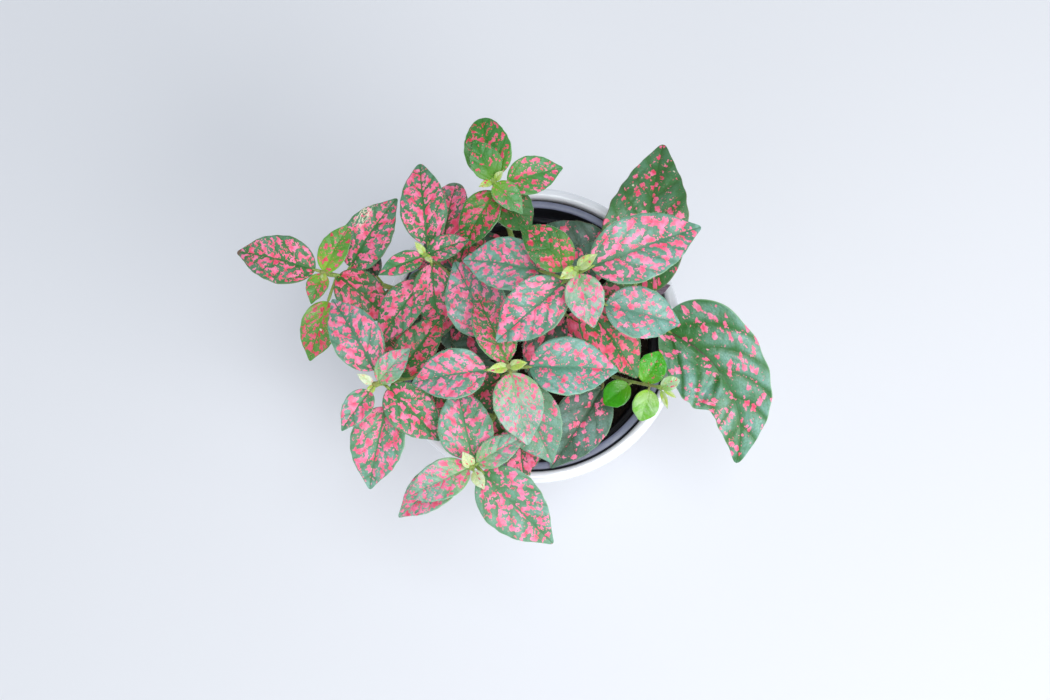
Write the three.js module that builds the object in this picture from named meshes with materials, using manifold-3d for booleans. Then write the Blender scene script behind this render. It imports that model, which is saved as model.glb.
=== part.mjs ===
// Potted polka dot plant: a leafy Hypoestes in a black nursery pot, stood in a white cachepot.
// Millimetres, +Z up. The origin is the middle of the cachepot's flat foot, on the surface it stands on.
import * as THREE from 'three';
import { mergeVertices } from 'three/addons/utils/BufferGeometryUtils.js';
import Module from 'manifold-3d';

const wasm = await Module();
wasm.setup();

// ---------------------------------------------------------------- driving dimensions
const CLEARANCE = 0.3; // left between pieces that rest against each other

const CACHEPOT_RADIUS = 66; // outside, at the rim
const CACHEPOT_FOOT_RADIUS = 49;
const CACHEPOT_HEIGHT = 115;
const CACHEPOT_WALL = 5;
const CACHEPOT_FLOOR = 6;

const NURSERY_LIP_RADIUS = CACHEPOT_RADIUS - CACHEPOT_WALL - CLEARANCE;
const NURSERY_BASE_RADIUS = 41;
const NURSERY_TOP = 112.5; // height of the lip above the ground
const NURSERY_BOTTOM = CACHEPOT_FLOOR + CLEARANCE;
const NURSERY_WALL = 1;
const NURSERY_FLOOR_RISE = 3; // the floor stands this much above the ring that the pot rests on
const LIP_WIDTH = 4; // the lip is a flat flange, turned down at its outer edge
const LIP_SKIRT = 7;
const COLLAR_DEPTH = 15; // the wider band under the lip
const COLLAR_STEP = 2.2; // how far the wall steps in below the collar
const DRAIN_HOLES = 6;
const DRAIN_RADIUS = 4;
const DRAIN_RING = 26; // radius of the ring on which the drain holes lie

const SOIL_TOP = 93;
const SOIL_LUMP = 1.4;
const STEM_SINK = 12; // how deep each stem stands in the soil
const STEM_HOLE_SPARE = 0.45;

const ROUND_SEGMENTS = 48;
const HOLE_SIDES = 8;
const STEM_RADIUS = 1.4;
const STEM_SIDES = 6;
const STEM_STEPS = 10;
const TIP_MARGIN = 1; // the top leaves leave the stem this far under its end
const STALK_RADIUS = 0.75;
const STALK_SIDES = 5;
const STALK_STEPS = 2;
const STALK_LIFT = 30; // degrees that a leaf stalk rises as it leaves the stem
const STALK_INTO_BLADE = 3; // how far the stalk runs on under the blade as its midrib
const LEAF_THICKNESS = 0.7;
const LEAF_FOLD = 9; // degrees that each half of a blade rises from its midrib
const LEAF_ARCH = 0.08; // height of the blade's bow over its chord, as a share of its length
const BASE_RISE = 12; // degrees that the blade's midrib rises from its chord at its base

// ---------------------------------------------------------------- materials
const finish = (color, roughness) => new THREE.MeshStandardMaterial({ color, roughness, metalness: 0 });
const whiteGlaze = finish(0xf3f4f6, 0.18);
const blackPlastic = finish(0x2a2c33, 0.42);
const darkSoil = finish(0x1b1613, 0.95);
const leafGreen = finish(0x5f9468, 0.5);

// ---------------------------------------------------------------- the plant's shoots
// Each shoot stands in the soil at its foot [x, y], passes its bends [x, y, z] and ends at its tip.
// A leaf is joined to the stem at a distance below the tip. Its azimuth is 0 along +X and 90 along +Y,
// its stalk lifts and its blade pitches in degrees above level, and its blade rolls about the midrib.
// Where given, bow is the midrib's sideways bend to the left as a share of the length, and turn is how
// far the stalk's azimuth lies to the left of the blade's.
const shoots = [
  {
    name: 'shoot_north',
    foot: [-4, 17],
    bends: [[-5, 25, 118], [-9, 35, 150]],
    tip: [-15, 45, 190],
    leaves: [
      { below: 0, azimuth: 40, stalk: 1, length: 5, width: 3, pitch: 40, roll: 0 },
      { below: 0, azimuth: 208, stalk: 1, length: 6, width: 3, pitch: 25, roll: 0 },
      { below: 0.5, azimuth: 116, stalk: 1.5, length: 16, width: 12, pitch: 16, roll: 4 },
      { below: 0.5, azimuth: 310, stalk: 1, length: 16, width: 10, pitch: 4, roll: -5 },
      { below: 4, azimuth: 101, stalk: 3.5, length: 24, width: 18, pitch: 3, roll: -6, lift: 20 },
      { below: 6, azimuth: 240, stalk: 1.5, length: 25, width: 15, pitch: -14, roll: 8 },
      { below: 5, azimuth: 17, stalk: 5.5, length: 22, width: 15, pitch: -4, roll: 6 },
      { below: 10, azimuth: 315, stalk: 1, length: 18, width: 16, pitch: -18, roll: -4 },
      { below: 44, azimuth: 210, stalk: 4, length: 24, width: 15, pitch: -20, roll: 5 },
    ],
  },
  {
    name: 'shoot_west',
    foot: [-24, 3],
    bends: [[-29, 5, 122], [-54, 11, 150]],
    tip: [-84, 15, 166],
    leaves: [
      { below: 0, azimuth: 290, stalk: 0.5, length: 5, width: 2.5, pitch: 20, roll: 0 },
      { below: 0.5, azimuth: 252, stalk: 0.8, length: 13, width: 9, pitch: 8, roll: 4 },
      { below: 0.5, azimuth: 60, stalk: 0.6, length: 22, width: 12, pitch: 10, roll: -6 },
      { below: 3, azimuth: 166, stalk: 6, length: 33, width: 20, pitch: -4, roll: 5, lift: 15 },
      { below: 3, azimuth: 318, stalk: 4.5, length: 26, width: 16, pitch: -16, roll: 7, lift: 0 },
      { below: 6, azimuth: 251, stalk: 11, length: 25, width: 15, pitch: -16, roll: -8, lift: -5 },
      { below: 9, azimuth: 54, stalk: 5, length: 33, width: 20, pitch: 12, roll: -5 },
      { below: 26, azimuth: 130, stalk: 5, length: 22, width: 14, pitch: -8, roll: 6 },
    ],
  },
  {
    name: 'shoot_north_west',
    foot: [-16, 8],
    bends: [[-19, 10, 122], [-32, 14, 160]],
    tip: [-41, 17, 187],
    leaves: [
      { below: 0, azimuth: 130, stalk: 0.5, length: 6, width: 3, pitch: 30, roll: 0 },
      { below: 0, azimuth: 309, stalk: 0.5, length: 5, width: 2.5, pitch: 30, roll: 0 },
      { below: 1, azimuth: 202, stalk: 1.5, length: 18, width: 9, pitch: -3, roll: 6 },
      { below: 1, azimuth: 20, stalk: 0.5, length: 17, width: 10, pitch: 4, roll: -7 },
      { below: 5, azimuth: 97, stalk: 6, length: 33, width: 18, pitch: -5, roll: -3, lift: 20 },
      { below: 6, azimuth: 275, stalk: 2, length: 27, width: 16, pitch: -34, roll: 4 },
      { below: 12, azimuth: 232, stalk: 9, length: 30, width: 16, pitch: -18, roll: 9, lift: 10 },
      { below: 13, azimuth: 79, stalk: 11, length: 25, width: 14, pitch: -8, roll: -6, lift: 10 },
    ],
  },
  {
    name: 'shoot_east',
    foot: [10, 3],
    bends: [[12, 3, 130], [14, 4, 180]],
    tip: [15, 5, 215],
    leaves: [
      { below: 0, azimuth: 30, stalk: 0.8, length: 9, width: 4.5, pitch: 33, roll: 0 },
      { below: 0, azimuth: 215, stalk: 0.5, length: 7, width: 4.5, pitch: 18, roll: 0 },
      { below: 2, azimuth: 141, stalk: 2.5, length: 23, width: 15, pitch: 0, roll: -5 },
      { below: 2, azimuth: 288, stalk: 2.2, length: 19, width: 14, pitch: -13, roll: 3 },
      { below: 8, azimuth: 21, stalk: 7, length: 43, width: 24, pitch: -4, roll: 5 },
      { below: 8, azimuth: 220, stalk: 6.5, length: 32, width: 20, pitch: -14, roll: -6 },
      { below: 18, azimuth: 169, stalk: 14.5, length: 29, width: 18.5, pitch: -12, roll: 4 },
      { below: 20, azimuth: 349, stalk: 16, length: 30, width: 19, pitch: -17, roll: 7, lift: 20, turn: -27 },
      { below: 30, azimuth: 308, stalk: 10, length: 35, width: 21, pitch: -20, roll: -8 },
    ],
  },
  {
    name: 'shoot_middle',
    foot: [-4, -11],
    bends: [[-6, -17, 130], [-8, -25, 170]],
    tip: [-9, -27, 196],
    leaves: [
      { below: 0, azimuth: 194, stalk: 0.5, length: 8, width: 4, pitch: 23, roll: 0 },
      { below: 0, azimuth: 8, stalk: 0.5, length: 7, width: 4, pitch: 25, roll: 0 },
      { below: 2, azimuth: 114, stalk: 2.2, length: 29, width: 15, pitch: -8, roll: 7 },
      { below: 2, azimuth: 284, stalk: 3, length: 27, width: 18.5, pitch: -13, roll: -3 },
      { below: 7, azimuth: 189, stalk: 10, length: 28, width: 19, pitch: -8, roll: 4 },
      { below: 7, azimuth: 359, stalk: 8.5, length: 33, width: 22, pitch: -8, roll: -4 },
      { below: 20, azimuth: 118, stalk: 16, length: 31, width: 23, pitch: 6, roll: -6, lift: 20 },
      { below: 24, azimuth: 292, stalk: 7, length: 32, width: 20, pitch: -15, roll: 8 },
      { below: 40, azimuth: 275, stalk: 22, length: 22, width: 18, pitch: -12, roll: 5, lift: 5 },
      { below: 58, azimuth: 200, stalk: 8, length: 27, width: 17, pitch: -14, roll: -6 },
      { below: 66, azimuth: 150, stalk: 12, length: 26, width: 17, pitch: -6, roll: 4 },
    ],
  },
  {
    name: 'shoot_south_west',
    foot: [-20, -11],
    bends: [[-25, -14, 122], [-44, -25, 158]],
    tip: [-60, -32, 182],
    leaves: [
      { below: 0, azimuth: 150, stalk: 1, length: 7, width: 3.5, pitch: 28, roll: 0 },
      { below: 0, azimuth: 240, stalk: 0.5, length: 5, width: 3, pitch: 10, roll: 0 },
      { below: 1, azimuth: 46, stalk: 1.5, length: 17, width: 11, pitch: 7, roll: -6 },
      { below: 1, azimuth: 236, stalk: 4, length: 18, width: 11, pitch: 3, roll: 5 },
      { below: 5, azimuth: 122, stalk: 6, length: 33, width: 19, pitch: -5, roll: 6, lift: 20 },
      { below: 5, azimuth: 315, stalk: 3.5, length: 28, width: 18, pitch: -13, roll: -4 },
      { below: 11, azimuth: 258, stalk: 11, length: 32, width: 21, pitch: -11, roll: 3, lift: 15 },
      { below: 13, azimuth: 55, stalk: 2.2, length: 29, width: 16, pitch: 1, roll: -8 },
    ],
  },
  {
    name: 'shoot_south',
    foot: [-10, -23],
    bends: [[-13, -31, 122], [-20, -51, 155]],
    tip: [-23, -63, 178],
    leaves: [
      { below: 0, azimuth: 120, stalk: 0.5, length: 7, width: 5, pitch: 30, roll: 0 },
      { below: 0, azimuth: 300, stalk: 2, length: 8, width: 5, pitch: 14, roll: 0 },
      { below: 1, azimuth: 29, stalk: 2.5, length: 21, width: 11, pitch: 8, roll: -7 },
      { below: 1, azimuth: 206, stalk: 1.5, length: 26, width: 15, pitch: 2, roll: 5 },
      { below: 4, azimuth: 102, stalk: 2.2, length: 26, width: 21, pitch: 12, roll: -3 },
      { below: 4, azimuth: 315, stalk: 5.5, length: 38, width: 23, pitch: -8, roll: 5 },
      { below: 11, azimuth: 218, stalk: 8, length: 30, width: 16, pitch: -8, roll: 8, lift: 5 },
    ],
  },
  {
    name: 'shoot_sprig',
    foot: [24, -13],
    bends: [[28, -16, 112], [38, -24, 136]],
    tip: [52, -29, 150],
    leaves: [
      { below: 0, azimuth: 18, stalk: 0.8, length: 8, width: 6, pitch: 19, roll: 0 },
      { below: 0, azimuth: 287, stalk: 2, length: 8, width: 2.5, pitch: 13, roll: 0 },
      { below: 8, azimuth: 64, stalk: 0.8, length: 14, width: 12, pitch: 11, roll: 4 },
      { below: 5, azimuth: 256, stalk: 2.5, length: 13, width: 11, pitch: -14, roll: -5 },
      { below: 14, azimuth: 218, stalk: 2.4, length: 13, width: 11, pitch: -14, roll: 6 },
      { below: 40, azimuth: 234, stalk: 9, length: 45, width: 28, pitch: -10, roll: -4, turn: 75 },
    ],
  },
  {
    name: 'shoot_old',
    foot: [27, 6],
    bends: [[29, 6, 112], [31, 5, 128]],
    tip: [33, 5, 140],
    leaves: [
      {
        below: 14, azimuth: 299, stalk: 28, length: 65, width: 45, pitch: -12, roll: 5,
        lift: 8, turn: 46, bow: 0.18,
      },
      { below: 9, azimuth: 78, stalk: 18, length: 65, width: 38, pitch: -4, roll: -6, lift: 12, turn: -34 },
      { below: 27, azimuth: 158, stalk: 26, length: 42, width: 24, pitch: 0, roll: 0, lift: 0, turn: -86 },
    ],
  },
];

// ---------------------------------------------------------------- solids
const degrees = THREE.MathUtils.degToRad;

function solid(geometry) {
  const bare = new THREE.BufferGeometry();
  bare.setAttribute('position', geometry.getAttribute('position'));
  bare.setIndex(geometry.getIndex());
  const merged = mergeVertices(bare, 1e-4);
  const corners = merged.getIndex().array;
  const triangles = [];
  for (let i = 0; i < corners.length; i += 3) {
    const [a, b, c] = corners.slice(i, i + 3);
    if (a !== b && b !== c && c !== a) triangles.push(a, b, c);
  }
  return new wasm.Manifold(new wasm.Mesh({
    numProp: 3,
    vertProperties: Float32Array.from(merged.getAttribute('position').array),
    triVerts: Uint32Array.from(triangles),
  }));
}

function meshOf(name, manifold, material) {
  const { vertProperties, triVerts } = manifold.getMesh();
  const geometry = new THREE.BufferGeometry();
  geometry.setAttribute('position', new THREE.BufferAttribute(vertProperties, 3));
  geometry.setIndex(new THREE.BufferAttribute(triVerts, 1));
  geometry.computeVertexNormals();
  const mesh = new THREE.Mesh(geometry, material);
  mesh.name = name;
  return mesh;
}

function turned(profile) {
  const points = profile.map(([radius, height]) => new THREE.Vector2(radius, height));
  return new THREE.LatheGeometry(points, ROUND_SEGMENTS).rotateX(Math.PI / 2);
}

function upright(radius, bottom, top, x, y, sides) {
  const post = new THREE.CylinderGeometry(radius, radius, top - bottom, sides).rotateX(Math.PI / 2);
  return solid(post.translate(x, y, (bottom + top) / 2));
}

function tube(points, radius, sides, steps) {
  const section = new THREE.Shape();
  for (let i = 0; i < sides; i++) {
    const angle = (i / sides) * 2 * Math.PI;
    const corner = [radius * Math.cos(angle), radius * Math.sin(angle)];
    if (i === 0) section.moveTo(...corner);
    else section.lineTo(...corner);
  }
  section.closePath();
  const path = new THREE.CatmullRomCurve3(points);
  return solid(new THREE.ExtrudeGeometry(section, { steps, extrudePath: path, curveSegments: 1 }));
}

// ---------------------------------------------------------------- pots and soil
function cachepot() {
  const inner = CACHEPOT_RADIUS - CACHEPOT_WALL;
  const innerFoot = CACHEPOT_FOOT_RADIUS - CACHEPOT_WALL;
  const top = CACHEPOT_HEIGHT;
  return solid(turned([
    [0, 0],
    [CACHEPOT_FOOT_RADIUS - 2, 0],
    [CACHEPOT_FOOT_RADIUS, 2.5],
    [CACHEPOT_RADIUS - 0.3, top - 6],
    [CACHEPOT_RADIUS, top - 2],
    [CACHEPOT_RADIUS - 0.9, top - 0.4],
    [CACHEPOT_RADIUS - 2.2, top],
    [inner + 1.2, top - 0.3],
    [inner, top - 1.8],
    [inner, NURSERY_TOP - LIP_SKIRT - 1],
    [innerFoot, CACHEPOT_FLOOR + 4],
    [innerFoot - 3, CACHEPOT_FLOOR],
    [0, CACHEPOT_FLOOR],
  ]));
}

// Outside radius of the nursery pot's wall, under its collar, at a height above the ground.
const COLLAR_BOTTOM = NURSERY_TOP - COLLAR_DEPTH;
const COLLAR_RADIUS = NURSERY_LIP_RADIUS - LIP_WIDTH + NURSERY_WALL;
const UNDER_COLLAR_RADIUS = COLLAR_RADIUS - COLLAR_STEP;
const NURSERY_FLOOR_TOP = NURSERY_BOTTOM + NURSERY_FLOOR_RISE + NURSERY_WALL;

function nurseryWall(height) {
  const share = (height - NURSERY_BOTTOM) / (COLLAR_BOTTOM - NURSERY_BOTTOM);
  return NURSERY_BASE_RADIUS + share * (UNDER_COLLAR_RADIUS - NURSERY_BASE_RADIUS);
}

function nurseryPot() {
  const floorBottom = NURSERY_BOTTOM + NURSERY_FLOOR_RISE;
  let pot = solid(turned([
    [0, floorBottom],
    [NURSERY_BASE_RADIUS - 8, floorBottom],
    [NURSERY_BASE_RADIUS - 6, NURSERY_BOTTOM],
    [NURSERY_BASE_RADIUS, NURSERY_BOTTOM],
    [UNDER_COLLAR_RADIUS, COLLAR_BOTTOM],
    [COLLAR_RADIUS - 0.4, COLLAR_BOTTOM + 0.8],
    [COLLAR_RADIUS, NURSERY_TOP - NURSERY_WALL],
    [NURSERY_LIP_RADIUS - NURSERY_WALL, NURSERY_TOP - NURSERY_WALL - 0.4],
    [NURSERY_LIP_RADIUS - NURSERY_WALL, NURSERY_TOP - LIP_SKIRT],
    [NURSERY_LIP_RADIUS, NURSERY_TOP - LIP_SKIRT],
    [NURSERY_LIP_RADIUS, NURSERY_TOP - 0.5],
    [NURSERY_LIP_RADIUS - 0.6, NURSERY_TOP],
    [COLLAR_RADIUS, NURSERY_TOP - 0.1],
    [COLLAR_RADIUS - NURSERY_WALL, NURSERY_TOP - 0.9],
    [COLLAR_RADIUS - NURSERY_WALL - 0.4, COLLAR_BOTTOM + 1.8],
    [UNDER_COLLAR_RADIUS - NURSERY_WALL, COLLAR_BOTTOM + 0.6],
    [nurseryWall(NURSERY_FLOOR_TOP) - NURSERY_WALL, NURSERY_FLOOR_TOP],
    [0, NURSERY_FLOOR_TOP],
  ]));
  for (let i = 0; i < DRAIN_HOLES; i++) {
    const angle = (i / DRAIN_HOLES) * 2 * Math.PI;
    const [x, y] = [DRAIN_RING * Math.cos(angle), DRAIN_RING * Math.sin(angle)];
    pot = pot.subtract(upright(DRAIN_RADIUS, 0, 2 * NURSERY_FLOOR_TOP, x, y, HOLE_SIDES));
  }
  return pot;
}

function soilLump(x, y) {
  const waves = Math.sin(x * 0.31 + y * 0.12) * Math.sin(y * 0.27 - 0.8);
  return SOIL_LUMP * (waves + 0.5 * Math.sin(x * 0.83 + 1.9) * Math.cos(y * 0.71));
}

function soil() {
  const bottom = NURSERY_FLOOR_TOP + CLEARANCE;
  const inset = NURSERY_WALL + CLEARANCE;
  const edge = nurseryWall(SOIL_TOP) - inset;
  const rings = [0.8, 0.5, 0.25];
  const plug = turned([
    [0, bottom],
    [nurseryWall(bottom) - inset, bottom],
    [edge, SOIL_TOP],
    ...rings.map((share) => [edge * share, SOIL_TOP]),
    [0, SOIL_TOP],
  ]);
  const places = plug.getAttribute('position');
  for (let i = 0; i < places.count; i++) {
    const [x, y, z] = [places.getX(i), places.getY(i), places.getZ(i)];
    const inland = Math.hypot(x, y) < edge - 1;
    if (inland && z > SOIL_TOP - 1) places.setZ(i, z + soilLump(x, y));
  }
  let earth = solid(plug);
  for (const { foot: [x, y] } of shoots) {
    const radius = STEM_RADIUS + STEM_HOLE_SPARE;
    earth = earth.subtract(upright(radius, SOIL_TOP - STEM_SINK, SOIL_TOP + 9, x, y, HOLE_SIDES));
  }
  return earth;
}

// ---------------------------------------------------------------- leaves
// Half width of a blade at a share of its length: rounded at the base, widest before the middle and
// drawn out to a point. It is scaled so that the widest place is 1. Old leaves are fuller at the base,
// where they have two rounded lobes.
const OLD_LEAF_LENGTH = 50;
const OLD_LEAF_LOBE = 0.06; // how far the lobes reach back past the stalk, as a share of the length

function outline(share, length) {
  const [base, tip] = length < OLD_LEAF_LENGTH ? [0.55, 0.9] : [0.4, 1.05];
  const widest = base / (base + tip);
  return (share ** base * (1 - share) ** tip) / (widest ** base * (1 - widest) ** tip);
}

function bladeStations(length) {
  if (length < 11) return [0.2, 0.65];
  if (length < OLD_LEAF_LENGTH) return [0.06, 0.24, 0.47, 0.7, 0.88];
  return [0.03, 0.1, 0.2, 0.34, 0.5, 0.66, 0.8, 0.92];
}

function blade(base, { azimuth, length, width, pitch, roll, bow = 0 }) {
  const chord = new THREE.Vector3(1, 0, 0).applyAxisAngle(new THREE.Vector3(0, -1, 0), degrees(pitch));
  const across = new THREE.Vector3(0, 1, 0).applyAxisAngle(chord, degrees(roll));
  const up = chord.clone().cross(across);
  const turn = new THREE.Matrix4().makeRotationZ(degrees(azimuth)).setPosition(base);
  const columns = [-1, 0, 1];
  const rise = Math.tan(degrees(LEAF_FOLD));

  function point(share, column, side) {
    const bulge = 4 * share * (1 - share);
    const half = share > 0 && share < 1 ? (width / 2) * outline(share, length) : 0;
    const lift = LEAF_ARCH * length * bulge + Math.abs(column) * half * rise;
    const lean = Math.atan(4 * bow * (1 - 2 * share)); // the midrib's own direction, from the chord's
    const lobe = length < OLD_LEAF_LENGTH ? 0 : OLD_LEAF_LOBE * length * column ** 2 * (1 - share) ** 4;
    return chord.clone().multiplyScalar(length * share - lobe - column * half * Math.sin(lean))
      .addScaledVector(across, column * half * Math.cos(lean) + bow * length * bulge)
      .addScaledVector(up, lift + side * (LEAF_THICKNESS / 2))
      .applyMatrix4(turn);
  }

  const shares = bladeStations(length);
  const places = [];
  const triangles = [];
  const columnCount = columns.length;
  const layerSize = shares.length * columnCount + 2;
  for (const side of [1, -1]) {
    const start = places.length;
    for (const share of shares) {
      for (const column of columns) places.push(point(share, column, side));
    }
    places.push(point(0, 0, side), point(1, 0, side));
    const faces = [];
    const at = (row, column) => start + row * columnCount + column;
    const [baseEnd, tipEnd] = [start + layerSize - 2, start + layerSize - 1];
    const last = shares.length - 1;
    for (let column = 0; column < columnCount - 1; column++) {
      faces.push([baseEnd, at(0, column), at(0, column + 1)]);
      for (let row = 0; row < last; row++) {
        faces.push([at(row, column), at(row + 1, column), at(row, column + 1)]);
        faces.push([at(row + 1, column), at(row + 1, column + 1), at(row, column + 1)]);
      }
      faces.push([at(last, column), tipEnd, at(last, column + 1)]);
    }
    for (const [a, b, c] of faces) triangles.push(...(side > 0 ? [a, b, c] : [a, c, b]));
  }
  const rim = [layerSize - 2];
  for (let row = 0; row < shares.length; row++) rim.push(row * columnCount);
  rim.push(layerSize - 1);
  for (let row = shares.length - 1; row >= 0; row--) rim.push(row * columnCount + columnCount - 1);
  for (let i = 0; i < rim.length; i++) {
    const [a, b] = [rim[i], rim[(i + 1) % rim.length]];
    triangles.push(b, a, a + layerSize, b, a + layerSize, b + layerSize);
  }
  const geometry = new THREE.BufferGeometry();
  geometry.setAttribute('position', new THREE.Float32BufferAttribute(places.flatMap((p) => p.toArray()), 3));
  geometry.setIndex(triangles);
  return solid(geometry);
}

// ---------------------------------------------------------------- stems
function heading(azimuth, pitch) {
  const level = Math.cos(degrees(pitch));
  const [x, y] = [level * Math.cos(degrees(azimuth)), level * Math.sin(degrees(azimuth))];
  return new THREE.Vector3(x, y, Math.sin(degrees(pitch)));
}

function stemPoints({ foot: [x, y], bends, tip }) {
  const bottom = SOIL_TOP - STEM_SINK + CLEARANCE;
  const upTo = SOIL_TOP + 5;
  return [[x, y, bottom], [x, y, (bottom + upTo) / 2], [x, y, upTo], ...bends, tip]
    .map((place) => new THREE.Vector3(...place));
}

function shootSolid(shoot) {
  const points = stemPoints(shoot);
  const path = new THREE.CatmullRomCurve3(points);
  const height = path.getLength();
  const pieces = [tube(points, STEM_RADIUS, STEM_SIDES, STEM_STEPS)];
  for (const leaf of shoot.leaves) {
    const joint = path.getPointAt(1 - (leaf.below + TIP_MARGIN) / height);
    const { stalk, lift = STALK_LIFT, turn = 0 } = leaf;
    const base = joint.clone().addScaledVector(heading(leaf.azimuth + turn, lift), stalk);
    const midrib = heading(leaf.azimuth, leaf.pitch + BASE_RISE);
    const inside = base.clone().addScaledVector(midrib, STALK_INTO_BLADE);
    pieces.push(blade(base, leaf));
    pieces.push(tube([joint, base, inside], STALK_RADIUS, STALK_SIDES, STALK_STEPS));
  }
  return wasm.Manifold.union(pieces);
}

// ---------------------------------------------------------------- the plant
const plant = new THREE.Group();
plant.add(meshOf('cachepot', cachepot(), whiteGlaze));
plant.add(meshOf('nursery_pot', nurseryPot(), blackPlastic));
plant.add(meshOf('soil', soil(), darkSoil));
for (const shoot of shoots) plant.add(meshOf(shoot.name, shootSolid(shoot), leafGreen));

export default plant;
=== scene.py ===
"""The looks of a potted polka dot plant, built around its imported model.

A leafy Hypoestes with pink-blotched leaves stands in a black nursery pot inside a white glazed cachepot.
Sizes are in millimetres until a mesh is made, and the pieces then lie in the model's frame in metres.
"""
import math
import random
from dataclasses import dataclass

import bpy
import numpy as np
from mathutils import Euler, Matrix, Quaternion, Vector, noise


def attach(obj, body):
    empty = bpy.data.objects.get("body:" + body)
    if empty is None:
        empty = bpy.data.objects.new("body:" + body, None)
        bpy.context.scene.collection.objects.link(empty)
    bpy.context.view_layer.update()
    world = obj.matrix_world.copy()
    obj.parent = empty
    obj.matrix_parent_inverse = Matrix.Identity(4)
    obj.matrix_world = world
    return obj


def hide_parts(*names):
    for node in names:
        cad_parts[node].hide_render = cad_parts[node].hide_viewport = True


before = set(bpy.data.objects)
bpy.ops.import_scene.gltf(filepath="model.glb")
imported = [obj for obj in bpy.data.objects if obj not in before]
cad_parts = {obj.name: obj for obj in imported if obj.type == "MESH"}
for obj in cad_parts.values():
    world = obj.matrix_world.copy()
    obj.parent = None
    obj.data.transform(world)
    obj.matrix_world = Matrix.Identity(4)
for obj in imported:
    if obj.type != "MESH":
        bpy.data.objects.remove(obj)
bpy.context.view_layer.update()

MM = 0.001

# ---- driving dimensions, in millimetres
CLEARANCE = 0.3

CACHEPOT_RADIUS = 66
CACHEPOT_FOOT_RADIUS = 49
CACHEPOT_HEIGHT = 115
CACHEPOT_WALL = 5
CACHEPOT_FLOOR = 6
CACHEPOT_FOOT_RIM = 18  # from the foot's flat middle to its edge
CACHEPOT_LIP_BAND = 6  # how far under the top the wall stops widening

NURSERY_LIP_RADIUS = CACHEPOT_RADIUS - CACHEPOT_WALL - CLEARANCE
NURSERY_BASE_RADIUS = 41
NURSERY_TOP = 112.5
NURSERY_BOTTOM = CACHEPOT_FLOOR + CLEARANCE
NURSERY_WALL = 1
NURSERY_FLOOR_RISE = 3
LIP_WIDTH = 4
LIP_SKIRT = 7
COLLAR_DEPTH = 15
COLLAR_STEP = 2.2
DRAIN_HOLES = 6
DRAIN_RADIUS = 4
DRAIN_RING = 26

SOIL_TOP = 93
SOIL_LUMP = 1.4
SOIL_GRAIN = 0.8
STEM_SINK = 12
CRUMBS = 900
CRUMB_SIZE = (0.35, 1.25)  # smallest and largest radius
CRUMB_SEED = 11
LEAF_SEEDS = 20  # random seeds set aside for each shoot's leaves

WHEEL_STEPS = 160  # facets round each pot
STEM_FACES = 3  # extra points in each quarter of a stem's round section
STEM_RADIUS = 1.5  # at the soil
STEM_TIP_RADIUS = 0.75
NODE_SWELL = 0.3  # how much thicker the stem is where a pair of leaves joins it
TIP_MARGIN = 1
STALK_RADIUS = 0.7
STALK_LIFT = 30  # degrees
LEAF_THICKNESS = 0.36
LEAF_FOLD = 9  # degrees that each half of a blade rises from its midrib
LEAF_ARCH = 0.08  # how high a midrib arches, as a share of the length
OLD_LEAF_LENGTH = 50
OLD_LEAF_LOBE = 0.06  # how far the old leaves' corners reach back past the stalk, as a share
OLD_VEINS = 5.2  # side veins on each half
VEINS = 4.9
SMALL_VEINS = 3.4
SMALL_LEAF_LENGTH = 20
OLD_CREASE = 0.36  # where the old leaf's fold leaves the midrib, as a share of its length
CREASE_SLOPE = 0.68  # how far the fold runs along while it goes 1 out
CREASE_NOTCH = 0.26  # how much narrower the blade is past the fold
BLANKS = ((15, 28, 16), (OLD_LEAF_LENGTH, 54, 32), (100, 92, 56))  # lengths up to, faces along and across
DRAWN_TIP = 0.3  # how much slimmer a blade is at its very tip than its plain curve
BLUNT_TIP = 0.075  # the last share of a blade, where its point is rounded off
ROUND_TIP = 0.26  # how much further back a blunt blade's point is rounded off
SPECK_RADIUS = 0.75
EDGE_RIPPLE = 0.012  # depth of the waves in a blade's edge, as a share of its half width
VEIN_ANGLE = 50  # degrees between the midrib and a side vein where it leaves
VEIN_CURVE = 0.9  # how much a side vein then bends towards the tip
CRINKLE = 0.05
OLD_CRINKLE = 0.22
EDGE_WAVE = 0.05  # height of the waves along an edge, as a share of the half width
OLD_EDGE_WAVE = 0.09

HAIR_RADIUS = 0.045
HAIR_LENGTH = 1.0
STEM_HAIRS = 3.2  # hairs on each millimetre of a stem or stalk, at its thickest
EDGE_HAIRS = 1.1  # hairs on each millimetre of a leaf, down each edge

FLOOR_SIZE = 12000
FLOOR_DROP = 0.2
CAMERA_PLACE = (-3, -84, 594)
CAMERA_TILT = 9  # degrees away from straight down
CAMERA_LENS = 38
CAMERA_SENSOR = 36
LAMP_TARGET = (0, 0, 120)
SKY_STRENGTH = 0.52
LAMPS = (  # name, place, size, power in watts and colour
    ("ceiling", (160, -60, 1400), 500, 6.1, (0.93, 0.97, 1.0)),
    ("window", (750, -600, 800), 800, 7.8, (1.0, 0.985, 0.96)),
    ("fill", (-600, -800, 700), 900, 1.9, (0.95, 0.97, 1.0)),
)


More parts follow.
